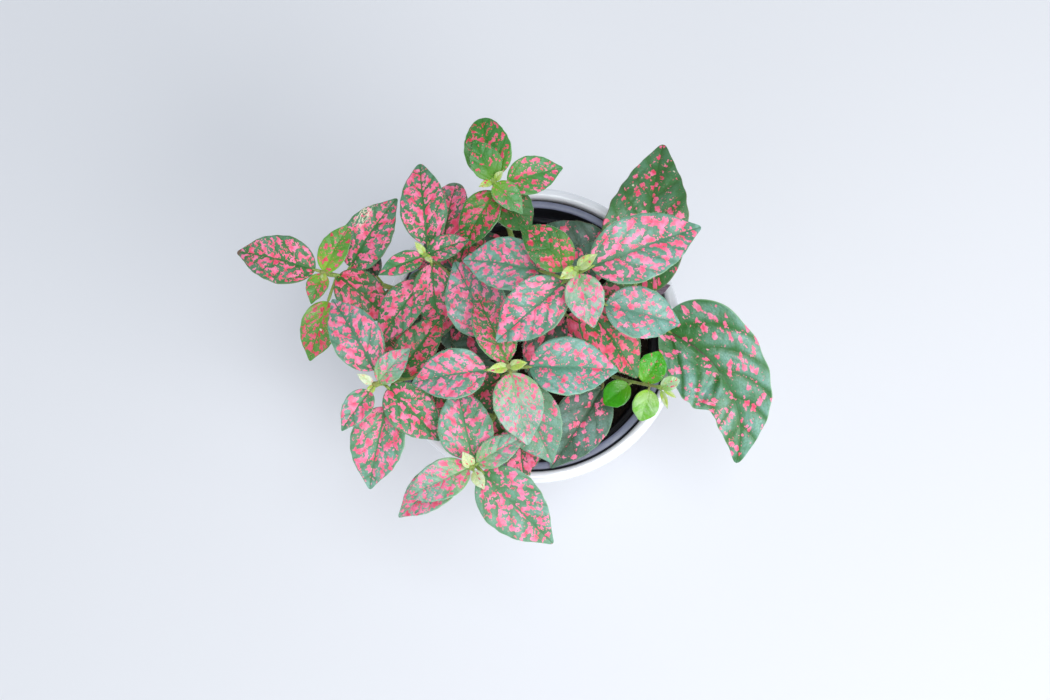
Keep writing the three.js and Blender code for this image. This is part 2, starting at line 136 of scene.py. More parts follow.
# ---- the plant's shoots
@dataclass
class Leaf:
    """One leaf, with its sizes in millimetres and its directions in degrees."""

    below: float  # how far under the shoot's tip it joins the stem
    azimuth: float
    stalk: float
    length: float
    width: float
    pitch: float
    roll: float
    look: str  # its colouring in LOOKS
    pink: float = 0.0  # the share of it that the blotches cover
    lift: float = STALK_LIFT  # how steeply the stalk rises
    bow: float = 0.0  # the midrib's bend to the left, as a share of the length
    turn: float = 0  # the stalk's azimuth less the blade's
    crease: float = 0.0  # depth of the fold across the right half
    blunt: float = 0.0  # how round the point is, from 0 to 1
    wear: tuple = (0, 0)  # 1 for a browned tip, and 1 for a scraped left half
    specks: tuple = ()  # pale specks: how far along, as a share, and how far to the left

    @property
    def style(self):
        return LOOKS[self.look]

    @property
    def is_old(self):
        return self.length >= OLD_LEAF_LENGTH


# The foot in the soil, two bends and the tip of each stem.
STEMS = {
    "shoot_north": ((-4, 17), (-5, 25, 118), (-9, 35, 150), (-15, 45, 190)),
    "shoot_west": ((-24, 3), (-29, 5, 122), (-54, 11, 150), (-84, 15, 166)),
    "shoot_north_west": ((-16, 8), (-19, 10, 122), (-32, 14, 160), (-41, 17, 187)),
    "shoot_east": ((10, 3), (12, 3, 130), (14, 4, 180), (15, 5, 215)),
    "shoot_middle": ((-4, -11), (-6, -17, 130), (-8, -25, 170), (-9, -27, 196)),
    "shoot_south_west": ((-20, -11), (-25, -14, 122), (-44, -25, 158), (-60, -32, 182)),
    "shoot_south": ((-10, -23), (-13, -31, 122), (-20, -51, 155), (-23, -63, 178)),
    "shoot_sprig": ((24, -13), (28, -16, 112), (38, -24, 136), (52, -29, 150)),
    "shoot_old": ((27, 6), (29, 6, 112), (31, 5, 128), (33, 5, 140)),
}
STEM_SLIM = {"shoot_sprig": 0.68}  # stems slimmer than the rest

LEAVES = {}
LEAVES["shoot_north"] = [
    Leaf(0, 40, 1, 5, 3, 40, 0, "tip", 0.1),
    Leaf(0, 208, 1, 6, 3, 25, 0, "tip", 0.1),
    Leaf(0.5, 116, 1.5, 16, 12, 16, 4, "fresh", 0.12),
    Leaf(0.5, 310, 1, 16, 10, 4, -5, "young", 0.26),
    Leaf(4, 101, 3.5, 24, 17.5, 3, -6, "fresh", 0.28, lift=20, blunt=1),
    Leaf(6, 240, 1.5, 25, 15, -14, 8, "fresh", 0.41),
    Leaf(5, 17, 5.5, 22, 15, -4, 6, "crisp", 0.34),
    Leaf(10, 315, 1, 18, 16, -18, -4, "dark", 0.08),
    Leaf(44, 210, 4, 24, 15, -20, 5, "deep", 0.2),
    # low on the stem
    Leaf(53, 190, 5, 24, 15, -8, 4, "deep", 0.45),
    Leaf(50, 328, 6, 19, 13, -6, -4, "shade", 0.35),
    Leaf(72, 28, 5, 24, 15, -10, 4, "deep", 0.3),
    Leaf(72, 165, 5, 22, 14, -12, -4, "deep", 0.25),
]
LEAVES["shoot_west"] = [
    Leaf(0, 290, 0.5, 5, 2.5, 20, 0, "tip", 0.1),
    Leaf(0.5, 252, 0.8, 13, 9, 8, 4, "lime", 0.36),
    Leaf(0.5, 60, 0.6, 22, 12, 10, -6, "lime", 0.3),
    Leaf(3, 166, 6, 33, 20, -4, 5, "wing", 0.42, lift=15, wear=(1, 0)),
    Leaf(3, 321, 3.5, 28, 18, -14, 7, "shade", 0.44, lift=0, turn=32),
    Leaf(6, 251, 11, 25, 15, -16, -8, "lime", 0.42, lift=-5, specks=((0.45, 0.8),)),
    Leaf(9, 54, 5, 33, 20, 12, -5, "west", 0.45, wear=(0, 1)),
    Leaf(26, 130, 5, 19, 12.5, -8, 6, "deep", 0.3),
    # low on the stem
    Leaf(46, 188, 3, 20, 13, -6, 3, "shade", 0.5),
    Leaf(46, 344, 3, 16, 11, -10, 3, "deep", 0.2),
    Leaf(60, 276, 3, 18, 12, 12, 4, "deep", 0.15),
    Leaf(60, 108, 9, 24, 15, -8, -4, "deep", 0.35, lift=5),
    Leaf(53, 218, 9, 24, 15, -10, 5, "deep", 0.4),
]
LEAVES["shoot_north_west"] = [
    Leaf(0, 130, 0.5, 6, 3, 30, 0, "tip", 0.1),
    Leaf(0, 309, 0.5, 5, 2.5, 30, 0, "tip", 0.1),
    Leaf(1, 202, 1.5, 18, 9, -3, 6, "west", 0.4),
    Leaf(1, 20, 0.5, 17, 10, 4, -7, "west", 0.42),
    Leaf(5, 97, 6, 33, 18, -5, -3, "west", 0.46, lift=20, blunt=0.3),
    Leaf(6, 275, 2, 27, 16, -34, 4, "west", 0.5),
    Leaf(12, 232, 9, 30, 16, -18, 9, "west", 0.5, lift=10),
    Leaf(13, 79, 11, 24, 15, -8, -6, "dusty", 0.5, lift=10, blunt=1),
    # low on the stem
    Leaf(47, 165, 6, 22, 14, -9, 5, "shade", 0.4),
    Leaf(47, 345, 5, 20, 13, -12, -4, "deep", 0.3),
    Leaf(29, 250, 5, 24, 15, -16, 4, "shade", 0.5),
    Leaf(29, 70, 5, 24, 15, -8, -5, "shade", 0.45),
]
LEAVES["shoot_east"] = [
    Leaf(0, 30, 0.8, 9, 4.5, 33, 0, "tip", 0.1),
    Leaf(0, 215, 0.5, 7, 4.5, 18, 0, "tip", 0.1),
    Leaf(2, 141, 2.5, 23, 15, 0, -5, "dark", 0.24),
    Leaf(2, 288, 2.2, 19.5, 14, -13, 3, "milky", 0.34),
    Leaf(8, 21, 7, 43, 24, -4, 5, "full", 0.42),
    Leaf(8, 220, 6.5, 32, 20, -14, -6, "full", 0.44),
    Leaf(18, 169, 14.5, 29, 20.5, -12, 4, "upper", 0.42),
    Leaf(20, 349, 16, 30, 19, -17, 7, "sky", 0.3, lift=20, turn=-27),
    Leaf(30, 308, 10, 35, 21, -20, -8, "green", 0.48),
    # low on the stem
    Leaf(72, 325, 3, 20, 12, -10, 5, "shade", 0.75),
    Leaf(72, 75, 8, 22, 14, -8, 4, "deep", 0.3),
    Leaf(50, 60, 7, 24, 15, -14, 4, "deep", 0.3),
    Leaf(50, 240, 7, 27, 16, -14, -4, "deep", 0.35),
    Leaf(38, 345, 9, 27, 16, -22, 5, "shade", 0.4),
    Leaf(38, 150, 7, 25, 15, -18, 4, "deep", 0.35),
    Leaf(92, 62, 6, 22, 14, -8, 4, "deep", 0.3),
    Leaf(92, 242, 6, 22, 14, -10, 4, "deep", 0.25),
]
LEAVES["shoot_middle"] = [
    Leaf(0, 194, 0.5, 8, 4, 23, 0, "tip", 0.1),
    Leaf(0, 8, 0.5, 7, 4, 25, 0, "tip", 0.1),
    Leaf(2, 114, 2.2, 29, 15, -8, 7, "fine", 0.45),
    Leaf(2, 284, 3, 27, 18.5, -13, -3, "speckled", 0.24),
    Leaf(7, 189, 10, 28, 19, -8, 4, "upper", 0.5),
    Leaf(7, 359, 8.5, 33, 22, -8, -4, "even", 0.25),
    Leaf(20, 118, 16, 31, 23, 6, -6, "full", 0.42, lift=20),
    Leaf(24, 294, 8, 32.5, 22, -15, 8, "soft", 0.14),
    Leaf(40, 275, 22, 22, 18, -12, 5, "dusty", 0.6, lift=5),
    Leaf(58, 200, 8, 27, 17, -14, -6, "deep", 0.1),
    Leaf(66, 150, 12, 26, 17, -6, 4, "deep", 0.25),
    # low on the stem
    Leaf(48, 20, 9, 24, 15, -12, -4, "deep", 0.3),
    Leaf(34, 215, 6, 25, 15, -20, 4, "shade", 0.4),
    Leaf(80, 345, 6, 25, 15, -6, 4, "deep", 0.3),
]
LEAVES["shoot_south_west"] = [
    Leaf(0, 150, 1, 7, 3.5, 28, 0, "cream", 0.14),
    Leaf(0, 240, 0.5, 5, 3, 10, 0, "tip", 0.1),
    Leaf(1, 46, 1.5, 17, 11, 7, -6, "pale", 0.36),
    Leaf(1, 236, 4, 18, 11, 3, 5, "south", 0.45),
    Leaf(5, 122, 6, 33, 19, -5, 6, "full", 0.44, lift=20),
    Leaf(5, 315, 3.5, 28, 18, -13, -4, "west", 0.43),
    Leaf(11, 258, 11, 32, 21, -11, 3, "south", 0.45, lift=15),
    Leaf(13, 55, 2.2, 29, 16, 1, -8, "green", 0.44),
    # low on the stem
    Leaf(69, 216, 6, 22, 14, -12, 4, "deep", 0.3),
    Leaf(69, 40, 3, 15, 10, -12, 4, "deep", 0.2),
    Leaf(33, 140, 4, 24, 15, -12, 4, "shade", 0.45),
    Leaf(33, 300, 4, 22, 14, -16, -4, "shade", 0.4),
]
LEAVES["shoot_south"] = [
    Leaf(0, 120, 0.5, 7, 5, 30, 0, "cream", 0.14),
    Leaf(0, 300, 2, 8, 5, 14, 0, "cream", 0.14),
    Leaf(1, 29, 2.5, 21, 11, 8, -7, "pale", 0.29),
    Leaf(1, 206, 1.5, 26, 15, 2, 5, "pale", 0.4),
    Leaf(4, 102, 2.2, 28.5, 21, 10, -3, "south", 0.42),
    Leaf(4, 315, 5.5, 38, 23, -8, 5, "south", 0.4),
    Leaf(11, 218, 8, 30, 16, -8, 8, "pale", 0.5, lift=5),
    # low on the stem
    Leaf(46, 124, 2, 18, 12, -22, 4, "deep", 0.2),
    Leaf(46, 303, 5, 24, 15, -6, -5, "west", 0.55),
    Leaf(62, 200, 6, 22, 14, -10, 5, "deep", 0.3),
    Leaf(28, 20, 4, 20, 13, -16, 4, "shade", 0.4),
]
LEAVES["shoot_sprig"] = [
    Leaf(0, 18, 0.8, 8, 6, 19, 0, "bud", 0.1),
    Leaf(0, 287, 2, 8, 2.5, 13, 0, "tip"),
    Leaf(8, 64, 0.8, 14, 12, 11, 4, "sprig", 0.06),
    Leaf(5, 256, 2.5, 13, 11, -14, -5, "lemon"),
    Leaf(14, 218, 2.4, 13, 11, -14, 6, "sprig"),
    Leaf(40, 237, 9, 41, 24, -10, -4, "pot", 0.2, turn=33),
    # low on the stem
    Leaf(0, 326, 2.2, 6, 2, -6, 0, "tip"),
]
LEAVES["shoot_old"] = [
    Leaf(14, 299, 28, 65, 40.5, -12, 5, "old", 0.2, lift=8, turn=46, bow=0.18, crease=3),
    Leaf(9, 78, 18, 65, 36.5, -4, -6, "back", 0.2, lift=12, turn=-34, specks=((0.64, 9), (0.79, -7))),
    Leaf(27, 158, 26, 42, 24, 0, 0, "deep", 0.15, lift=0, turn=-86),
    # low on the stem
    Leaf(16, 60, 4, 20, 13, -10, 5, "shade", 0.3),
    Leaf(21, 14, 21, 13, 7, 6, 24, "dry", lift=4, turn=17),
]


@dataclass
class Look:
    """How a blade is coloured and filled."""

    green: tuple  # an sRGB colour
    lime: float = 0.0  # how far a lime tint runs up from the base
    milk: float = 0.0  # how milky the green is
    grain: float = 1.0  # how fine the blotches are: 1 is full size
    bloom_and_sheen: float = 0.0  # how pale blue the pillows are made: partly the leaf's own pale hairy skin, partly a painted sheen of sky light
    lines: float = 0.22  # how dark the veins are, and the painted shade in the grooves beside them
    quilt: float = 0.008  # height of the pillows between the veins, as a share of the length
    gloss: float = 0.3
    spots: float = 0.0  # the share of the pink that stands in single spots and not in clumps
    rounded: bool = False  # a short round blade with no hairs


LOOKS = {
    "tip": Look((0.74, 0.84, 0.36), lime=0.75, milk=0.4, grain=2.2, gloss=0.6),
    "cream": Look((0.84, 0.9, 0.66), lime=0.25, milk=0.7, grain=2.2, gloss=0.6),
    "young": Look((0.3, 0.64, 0.2), lime=0.55, milk=0.12, grain=1.4, bloom_and_sheen=0.3, gloss=0.5),
    "lime": Look((0.32, 0.6, 0.09), lime=0.62, milk=0.03, grain=1.35, bloom_and_sheen=0.1, gloss=0.5),
    "pale": Look((0.37, 0.61, 0.46), lime=0.4, milk=0.3, grain=1.35, bloom_and_sheen=0.7, lines=0.15),
    "milky": Look((0.37, 0.59, 0.46), lime=0.28, milk=0.36, grain=1.9, bloom_and_sheen=0.8, lines=0.1, spots=0.5),
    "speckled": Look((0.37, 0.59, 0.46), lime=0.34, milk=0.36, grain=2.6, bloom_and_sheen=0.8, lines=0.1, spots=0.2),
    "fine": Look((0.24, 0.5, 0.2), lime=0.2, milk=0.05, grain=1.5, bloom_and_sheen=0.3),
    "fresh": Look((0.18, 0.5, 0.05), lime=0.25, grain=1.05, bloom_and_sheen=0.12, lines=0.35, gloss=0.5),
    "crisp": Look((0.25, 0.56, 0.2), lime=0.2, grain=1.05, bloom_and_sheen=0.3, lines=0.3, gloss=0.5),
    "upper": Look((0.28, 0.53, 0.39), lime=0.04, milk=0.06, bloom_and_sheen=1),
    "full": Look((0.24, 0.48, 0.33), lime=0.04, milk=0.04, bloom_and_sheen=0.9),
    "south": Look((0.27, 0.53, 0.32), lime=0.08, milk=0.04, bloom_and_sheen=0.85),
    "west": Look((0.215, 0.49, 0.2), grain=1.1, bloom_and_sheen=0.45),
    "wing": Look((0.215, 0.475, 0.17), grain=1.35, bloom_and_sheen=0.42),
    "dusty": Look((0.3, 0.4, 0.22), grain=1, bloom_and_sheen=0.4),
    "shade": Look((0.19, 0.41, 0.05), grain=1.05, bloom_and_sheen=0.25),
    "green": Look((0.18, 0.45, 0.13), grain=1, bloom_and_sheen=0.16),
    "sky": Look((0.35, 0.57, 0.48), grain=1.6, bloom_and_sheen=1, lines=0.12, gloss=0.6, spots=0.8),
    "even": Look((0.34, 0.6, 0.48), grain=1.4, bloom_and_sheen=1, lines=0.14, spots=0.25),
    "soft": Look((0.38, 0.58, 0.42), lime=0.1, milk=0.1, grain=1.3, bloom_and_sheen=0.7, lines=0.1, spots=0.4),
    "dark": Look((0.18, 0.47, 0.07), lime=0.2, grain=2, bloom_and_sheen=0.1, lines=0.35, gloss=0.5, spots=0.7),
    # deep and pot: dark grey-greens for the leaves low among the others and down in the pot: painted shade
    "deep": Look((0.17, 0.31, 0.19), grain=0.9, bloom_and_sheen=0.3, spots=0.7),
    "pot": Look((0.2, 0.33, 0.21), grain=1.2, bloom_and_sheen=0.6, lines=0.1, quilt=0.003, spots=0.9),
    "back": Look((0.2, 0.44, 0.13), grain=1.2, bloom_and_sheen=0.28, lines=0.3, quilt=0.016, gloss=0.5, spots=0.8),
    "old": Look((0.16, 0.45, 0.12), grain=1.35, bloom_and_sheen=0.95, lines=0.5, quilt=0.019, gloss=0.6, spots=1),
    "sprig": Look((0.27, 0.72, 0.08), lime=0.3, grain=1.6, lines=0.04, quilt=0.003, gloss=1, rounded=True),
    "lemon": Look((0.45, 0.74, 0.2), lime=0.8, milk=0.25, grain=1.6, lines=0.04, quilt=0.003, gloss=1,
                  rounded=True),
    "bud": Look((0.62, 0.82, 0.5), lime=0.4, milk=0.6, grain=1.9, quilt=0.003, gloss=0.8, rounded=True),
    "dry": Look((0.5, 0.36, 0.47), grain=1, bloom_and_sheen=0.1, lines=0.5, quilt=0.03, gloss=0),
}


def linear(srgb):
    """A screen colour as the scene's linear colour, with alpha 1."""
    return tuple((c / 12.92 if c <= 0.04045 else ((c + 0.055) / 1.055) ** 2.4) for c in srgb) + (1.0,)


# ---- the bench: picking and finishing
def pick_none():
    bpy.ops.object.select_all(action="DESELECT")


def pick(pieces):
    """Selects just these pieces, the first of them active."""
    pick_none()
    for piece in pieces:
        piece.select_set(True)
    bpy.context.view_layer.objects.active = pieces[0]


def apply_modifier(piece, kind, **settings):
    pick([piece])
    modifier = piece.modifiers.new(kind.title(), kind)
    for name, value in settings.items():
        setattr(modifier, name, value)
    bpy.ops.object.modifier_apply(modifier=modifier.name)


def joined(pieces, name):
    pick(pieces)
    if len(pieces) > 1:
        bpy.ops.object.join()
    piece = bpy.context.object
    piece.name = name
    piece.data.name = name
    return piece


def new_object(name, data):
    """An object in the scene, made of a mesh, a curve, a lamp or a lens."""
    made = bpy.data.objects.new(name, data)
    bpy.context.scene.collection.objects.link(made)
    return made


def copy_of(pattern, name):
    """A new piece with its own copy of a pattern's mesh."""
    return new_object(name, pattern.data.copy())


def discard(piece):
    mesh = piece.data
    bpy.data.objects.remove(piece)
    bpy.data.meshes.remove(mesh)


def places_of(piece):
    places = np.empty(len(piece.data.vertices) * 3)
    piece.data.vertices.foreach_get("co", places)
    return places.reshape(-1, 3)


def set_places(piece, places):
    piece.data.vertices.foreach_set("co", np.ascontiguousarray(places, dtype=np.float32).ravel())
    piece.data.update()


def seat(piece, node, slot, *materials):
    """Puts a finished piece on the part: it stands for a node and takes its finishes."""
    piece.data.materials.clear()
    for material in materials:
        piece.data.materials.append(material)
    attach(piece, "root")
    if node:
        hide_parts(node)
    return piece


def arc(radius, height, bend, start, end, points=6):
    """Profile points round a corner of the given bend radius, from one angle to another in degrees."""
    angles = np.radians(np.linspace(start, end, points))
    return [(radius + bend * math.cos(a), height + bend * math.sin(a)) for a in angles]


def turn_on_wheel(name, profile, smooth_angle=40):
    """A round piece turned from a profile of (radius, height) points, which starts and ends on the axis."""
    pick_none()
    bpy.ops.mesh.primitive_plane_add(size=MM, location=(0, 0, 0))
    piece = bpy.context.object
    piece.name = name
    bpy.ops.object.mode_set(mode="EDIT")
    bpy.ops.mesh.select_all(action="SELECT")
    bpy.ops.mesh.merge(type="CENTER")
    bpy.ops.transform.translate(value=(profile[0][0] * MM, 0, profile[0][1] * MM))
    for (r0, z0), (r1, z1) in zip(profile, profile[1:]):
        step = ((r1 - r0) * MM, 0, (z1 - z0) * MM)
        bpy.ops.mesh.extrude_vertices_move(TRANSFORM_OT_translate={"value": step})
    bpy.ops.mesh.select_all(action="SELECT")
    bpy.ops.mesh.spin(steps=WHEEL_STEPS, angle=2 * math.pi, center=(0, 0, 0), axis=(0, 0, 1))
    bpy.ops.mesh.select_all(action="SELECT")
    bpy.ops.mesh.remove_doubles(threshold=0.002 * MM)
    bpy.ops.mesh.normals_make_consistent(inside=False)
    bpy.ops.object.mode_set(mode="OBJECT")
    bpy.ops.object.shade_smooth_by_angle(angle=math.radians(smooth_angle))
    return piece


# ---- the bench: mixing finishes
def worked_out(operation, swapped=False):
    """An operator that adds the node which does it."""

    def operator(value, other=0.0):
        return value.finish.math(operation, *((other, value) if swapped else (value, other)))

    return operator


class Value:
    """A number that a finish works out: arithmetic on it adds the nodes that do it."""

    def __init__(self, finish, socket):
        self.finish = finish
        self.socket = socket

    __abs__ = worked_out("ABSOLUTE")
    __round__ = worked_out("ROUND")
    __gt__ = worked_out("GREATER_THAN")
    __add__ = __radd__ = worked_out("ADD")
    __sub__ = worked_out("SUBTRACT")
    __rsub__ = worked_out("SUBTRACT", swapped=True)
    __mul__ = __rmul__ = worked_out("MULTIPLY")
    __truediv__ = worked_out("DIVIDE")


class Finish:
    """A material being mixed: each method adds one node and gives back what it works out."""

    def __init__(self, name):
        self.material = bpy.data.materials.new(name)
        self.material.use_nodes = True
        self.tree = self.material.node_tree
        self.shader = self.tree.nodes["Principled BSDF"]

    def feed(self, socket, value):
        if isinstance(value, Value):
            self.tree.links.new(value.socket, socket)
        else:
            socket.default_value = value

    def add(self, kind, inputs=(), outputs=(0,), **settings):
        """Adds a node, feeds its inputs, given in order or by name, and gives back the outputs asked for."""
        node = self.tree.nodes.new("ShaderNode" + kind)
        for name, value in settings.items():
            setattr(node, name, value)
        for name, value in inputs.items() if isinstance(inputs, dict) else enumerate(inputs):
            self.feed(node.inputs[name], value)
        found = [Value(self, node.outputs[name]) for name in outputs]
        return found if len(found) > 1 else found[0]

    def set(self, **inputs):
        """Feeds the shader's own sockets, named in lower case with underscores."""
        for name, value in inputs.items():
            self.feed(self.shader.inputs[name.replace("_", " ").title().replace("Ior", "IOR")], value)

    def place(self):
        return self.add("TexCoord", outputs=["Object"])

    def round_place(self):
        """The place, and its distance from the pots' axis and its height, all in metres."""
        place = self.place()
        x, y, z = self.parts(place)
        return place, self.math("SQRT", x * x + y * y), z

    def attribute(self, name, output="Vector"):
        return self.add("Attribute", outputs=[output], attribute_name=name)

    def parts(self, vector):
        return self.add("SeparateXYZ", [vector], (0, 1, 2))

    def vector(self, x, y, z):
        return self.add("CombineXYZ", (x, y, z))

    def math(self, operation, a, b=0.0):
        return self.add("Math", (a, b), operation=operation)

    def most(self, a, b):
        return self.math("MAXIMUM", a, b)

    def ramp(self, value, low, high, first=0.0, last=1.0):
        """Smoothly from first, where the value is low, to last, where it is high."""
        inputs = (value, low, high, first, last)
        return self.add("MapRange", inputs, interpolation_type="SMOOTHSTEP")

    def fall(self, value, low, high):
        """Smoothly from 1, where the value is low, to 0, where it is high."""
        return self.ramp(value, low, high, 1.0, 0.0)

    def mix(self, share, first, second):
        """From the first colour to the second: each is worked out, or given as sRGB."""
        first, second = (linear(c) if isinstance(c, tuple) else c for c in (first, second))
        return self.add("Mix", {0: share, 6: first, 7: second}, [2], data_type="RGBA")

    def coats(self, colour, *coats):
        """Lays coats over a colour, each given as the share that it covers and its own colour."""
        for share, coat in coats:
            colour = self.mix(share, colour, coat)
        return colour

    def noise(self, vector, scale, detail=2.0, roughness=0.5):
        """Cloudy noise, from about 0.2 to 0.8."""
        inputs = {"Vector": vector, "Scale": scale, "Detail": detail, "Roughness": roughness}
        return self.add("TexNoise", inputs, ["Fac"])

    def cells(self, vector, scale):
        """Distance from the nearest of some scattered points, in cells."""
        return self.add("TexVoronoi", {"Vector": vector, "Scale": scale}, ["Distance"])

    def scattered(self, vector, scale, squareness):
        """As cells, with squarer cells, and with the nearest point's own random number."""
        inputs = {"Vector": vector, "Scale": scale, "Exponent": squareness}
        outputs = ("Distance", "Color")
        distance, colour = self.add("TexVoronoi", inputs, outputs, distance="MINKOWSKI")
        return distance, self.parts(colour)[0]

    def scaled(self, vector, scale):
        return self.add("VectorMath", (vector, scale), operation="MULTIPLY")

    def moved(self, vector, step):
        return self.add("VectorMath", (vector, step), operation="ADD")

    def size(self, vector):
        return self.add("VectorMath", [vector], ["Value"], operation="LENGTH")

    def relief(self, height, strength, distance):
        inputs = {"Height": height, "Strength": strength, "Distance": distance}
        self.set(normal=self.add("Bump", inputs))


# ---- finishes
PINK_RED = (0.84, 0.2, 0.27)
PINK_DEEP = (0.94, 0.25, 0.41)
PINK_LIGHT = (1, 0.52, 0.69)
# the pink made paler under the painted sheen
PINK_BLOOM_AND_SHEEN = (1, 0.74, 0.86)
LIME = (0.6, 0.8, 0.16)
MILK = (0.86, 0.9, 0.84)
# pale blue-green laid on the pillows: a painted sheen of sky light, with the leaf's own pale hairy skin
BLOOM_AND_SHEEN = (0.58, 0.77, 0.74)
# a pale line at the very edge: partly the leaf's own pale rim, partly painted light on the edge hairs
MARGIN = (0.62, 0.8, 0.62)
RED_MARGIN = (0.47, 0.33, 0.26)
# the veins' own darker green, also laid as painted shade in the grooves and hollows
DARK_VEIN_AND_SHADE = (0.08, 0.27, 0.1)
BROWN_RIB = (0.27, 0.21, 0.12)
BROWN_TIP = (0.46, 0.36, 0.28)
SCRAPED = (0.9, 0.87, 0.77)


def leaf_finish(name, underside=False):
    """Green with pink blotches that follow the side veins and stop short of the midrib and the edge.

    It reads what blade_on writes on each blade. place: along, across (mm) and a seed. veins: the count of
    side veins passed, their spacing (mm) and the distance along. marks: pink, lime and milk. shape: from
    the midrib (0) to the edge (1), how fine the blotches are, and the length (mm). relief: how dark the
    veins are, with the painted shade in their grooves, the gloss and the share of spots. tone: the green,
    with as its alpha how much pale blue lies on the pillows, a painted sheen with the leaf's own hairy
    skin. wear: a browned tip, a scraped patch, and how near a pale speck is.
    """
    f = Finish(name)
    along, across, seed = f.parts(f.attribute("place"))
    count, spacing, share = f.parts(f.attribute("veins"))
    pink, lime, milk = f.parts(f.attribute("marks"))
    edge, grain, length = f.parts(f.attribute("shape"))
    lines, gloss, spots = f.parts(f.attribute("relief"))
    tone = f.attribute("tone", "Color")
    bloom_and_sheen = f.attribute("tone", "Alpha")

    out = abs(across)
    side = across > 0
    off_vein = abs(count - round(count)) * spacing
    rib_width = (length + 10) * f.ramp(share, 0, 1, 0.022, 0.008)
    midrib = f.fall(out, rib_width * 0.2, rib_width)
    rib_line = f.fall(out, rib_width * 0.1, rib_width * 0.28 + 0.22)
    vein_width = f.ramp(edge, 0.1, 0.95, 1, 0.35)
    vein = f.fall(off_vein / vein_width, 0.1, 0.75)
    margin = f.most(f.ramp(edge, 0.86, 0.985), f.ramp(share, 0.88, 0.97) * 0.8)

    # blotches: clumps of rounded lobes, a little longer along the veins, which break up into dots
    flat = f.vector(along + seed * 7.3, across + seed * 3.1, 0)
    wander = f.noise(flat, 0.8) - 0.5
    over = along * 0.74 - out * 0.67
    down = along * 0.67 + out * 0.74
    over = over + wander * 2.4 + (side * 61 + seed * 11.7)
    down = down * 0.68 + (wander * 1.5 + seed * 5.9)
    fine = f.vector(grain, grain, grain)
    clump = f.noise(f.scaled(f.vector(over, down, 0), fine), 0.45, 1)
    round_place = f.scaled(f.moved(flat, f.vector(wander * 1.5, wander * -1.2, 0)), fine)
    lobe = f.cells(round_place, 1.05)
    ragged = f.noise(flat, 2.1, 1)
    keep_off = midrib * 0.2 + (vein * 0.035 + margin * 0.2)
    level = clump + ragged * 0.07 - (lobe * 0.21 + keep_off)
    least = 0.615 - pink * (1 - spots) * 0.43
    blotched = f.ramp(level - least, 0, 0.014)
    dot = f.fall(f.cells(round_place, 0.75), 0.19, 0.25)
    chosen = f.noise(round_place, 0.66, 0)
    dotted = dot * f.ramp(chosen - (0.66 - pink * 0.45), 0, 0.01)
    dotted = dotted * f.fall(keep_off, 0.1, 0.12) * (1 - spots * 0.7)
    spot_place = f.scaled(f.vector(over * 0.56, down * 1.3, 0), fine)
    distance, chance = f.scattered(spot_place, 0.4, 3)
    radius = (0.5 + pink * 1.15 - chance) * 0.8
    uneven = (f.noise(flat, 1.1, 1) - 0.5) * 0.35
    spot = radius - (distance + keep_off * 0.7 + uneven)
    spotted = f.ramp(spot, 0, 0.05) * f.ramp(spots, 0, 0.2)
    marked = f.most(f.most(blotched, dotted), spotted)
    marked = marked * f.ramp(pink, 0, 0.04)

    # the green between them
    cloud = f.noise(flat, 0.11)
    grit = f.noise(flat, 1.9, 3, 0.7)
    groove = f.fall(off_vein / spacing, 0, 0.3)
    pillow = (1 - groove * (0.3 + lines)) * f.ramp(edge, 0.03, 0.3, 0.3, 1)
    # the pale blue on the raised pillows between the veins, in patches and less near the base: a painted
    # sheen of sky light, partly the leaf's own pale hairy skin
    bloom_and_sheen_mask = pillow * f.ramp(cloud, 0.3, 0.7, 0.25, 1) * f.ramp(grit, 0.3, 0.7, 0.75, 1.1)
    bloom_and_sheen_limit = f.ramp(share + edge * 0.15, 0.05, 0.4, 0.2, 1)
    dark = f.mix(0.6, tone, DARK_VEIN_AND_SHADE)
    faint = f.ramp(edge, 0.15, 1, 1, 0.15) * f.ramp(cloud, 0.4, 0.6, 0.3, 1)
    # darker along the veins and midrib and in the grooves beside the side veins: partly the veins' own
    # colour, partly painted shade in the grooves
    veins_and_groove_shade = f.most(vein * (faint * lines), rib_line * (lines + 0.25))
    veins_and_groove_shade = f.most(veins_and_groove_shade, groove * lines * f.ramp(edge, 0.3, 1, 0.5, 0.1))
    old_rib = rib_line * f.fall(share, 0.2, 0.45) * f.ramp(length, 45, 60)
    streak = f.noise(f.vector(over * 0.5, down * 0.2, seed), 1, 2, 0.6)
    reddened = f.ramp(bloom_and_sheen, 0.35, 0.7, 0.8, 0) * f.fall(lime, 0, 0.2)
    green = f.coats(
        tone,
        (bloom_and_sheen_mask * bloom_and_sheen_limit * bloom_and_sheen, BLOOM_AND_SHEEN),
        (veins_and_groove_shade, dark),
        (old_rib, BROWN_RIB),
        (f.ramp(grit, 0.42, 0.7, 0, 0.35), f.mix(0.5, tone, DARK_VEIN_AND_SHADE)),
        # darker where the little areoles dip at their edges: painted shade in the hollows
        (f.ramp(lobe, 0.45, 0.8, 0, 0.3), f.mix(0.4, tone, DARK_VEIN_AND_SHADE)),
        (lime * f.fall(share, 0, 0.6), LIME),
        (milk * f.ramp(streak, 0.35, 0.65), MILK),
        # the very edge: pale green, partly the leaf's own rim and partly painted light on its hairs; reddish
        # brown on some leaves
        (f.ramp(edge, 0.965, 1, 0, 0.7), f.mix(reddened, MARGIN, RED_MARGIN)),
    )

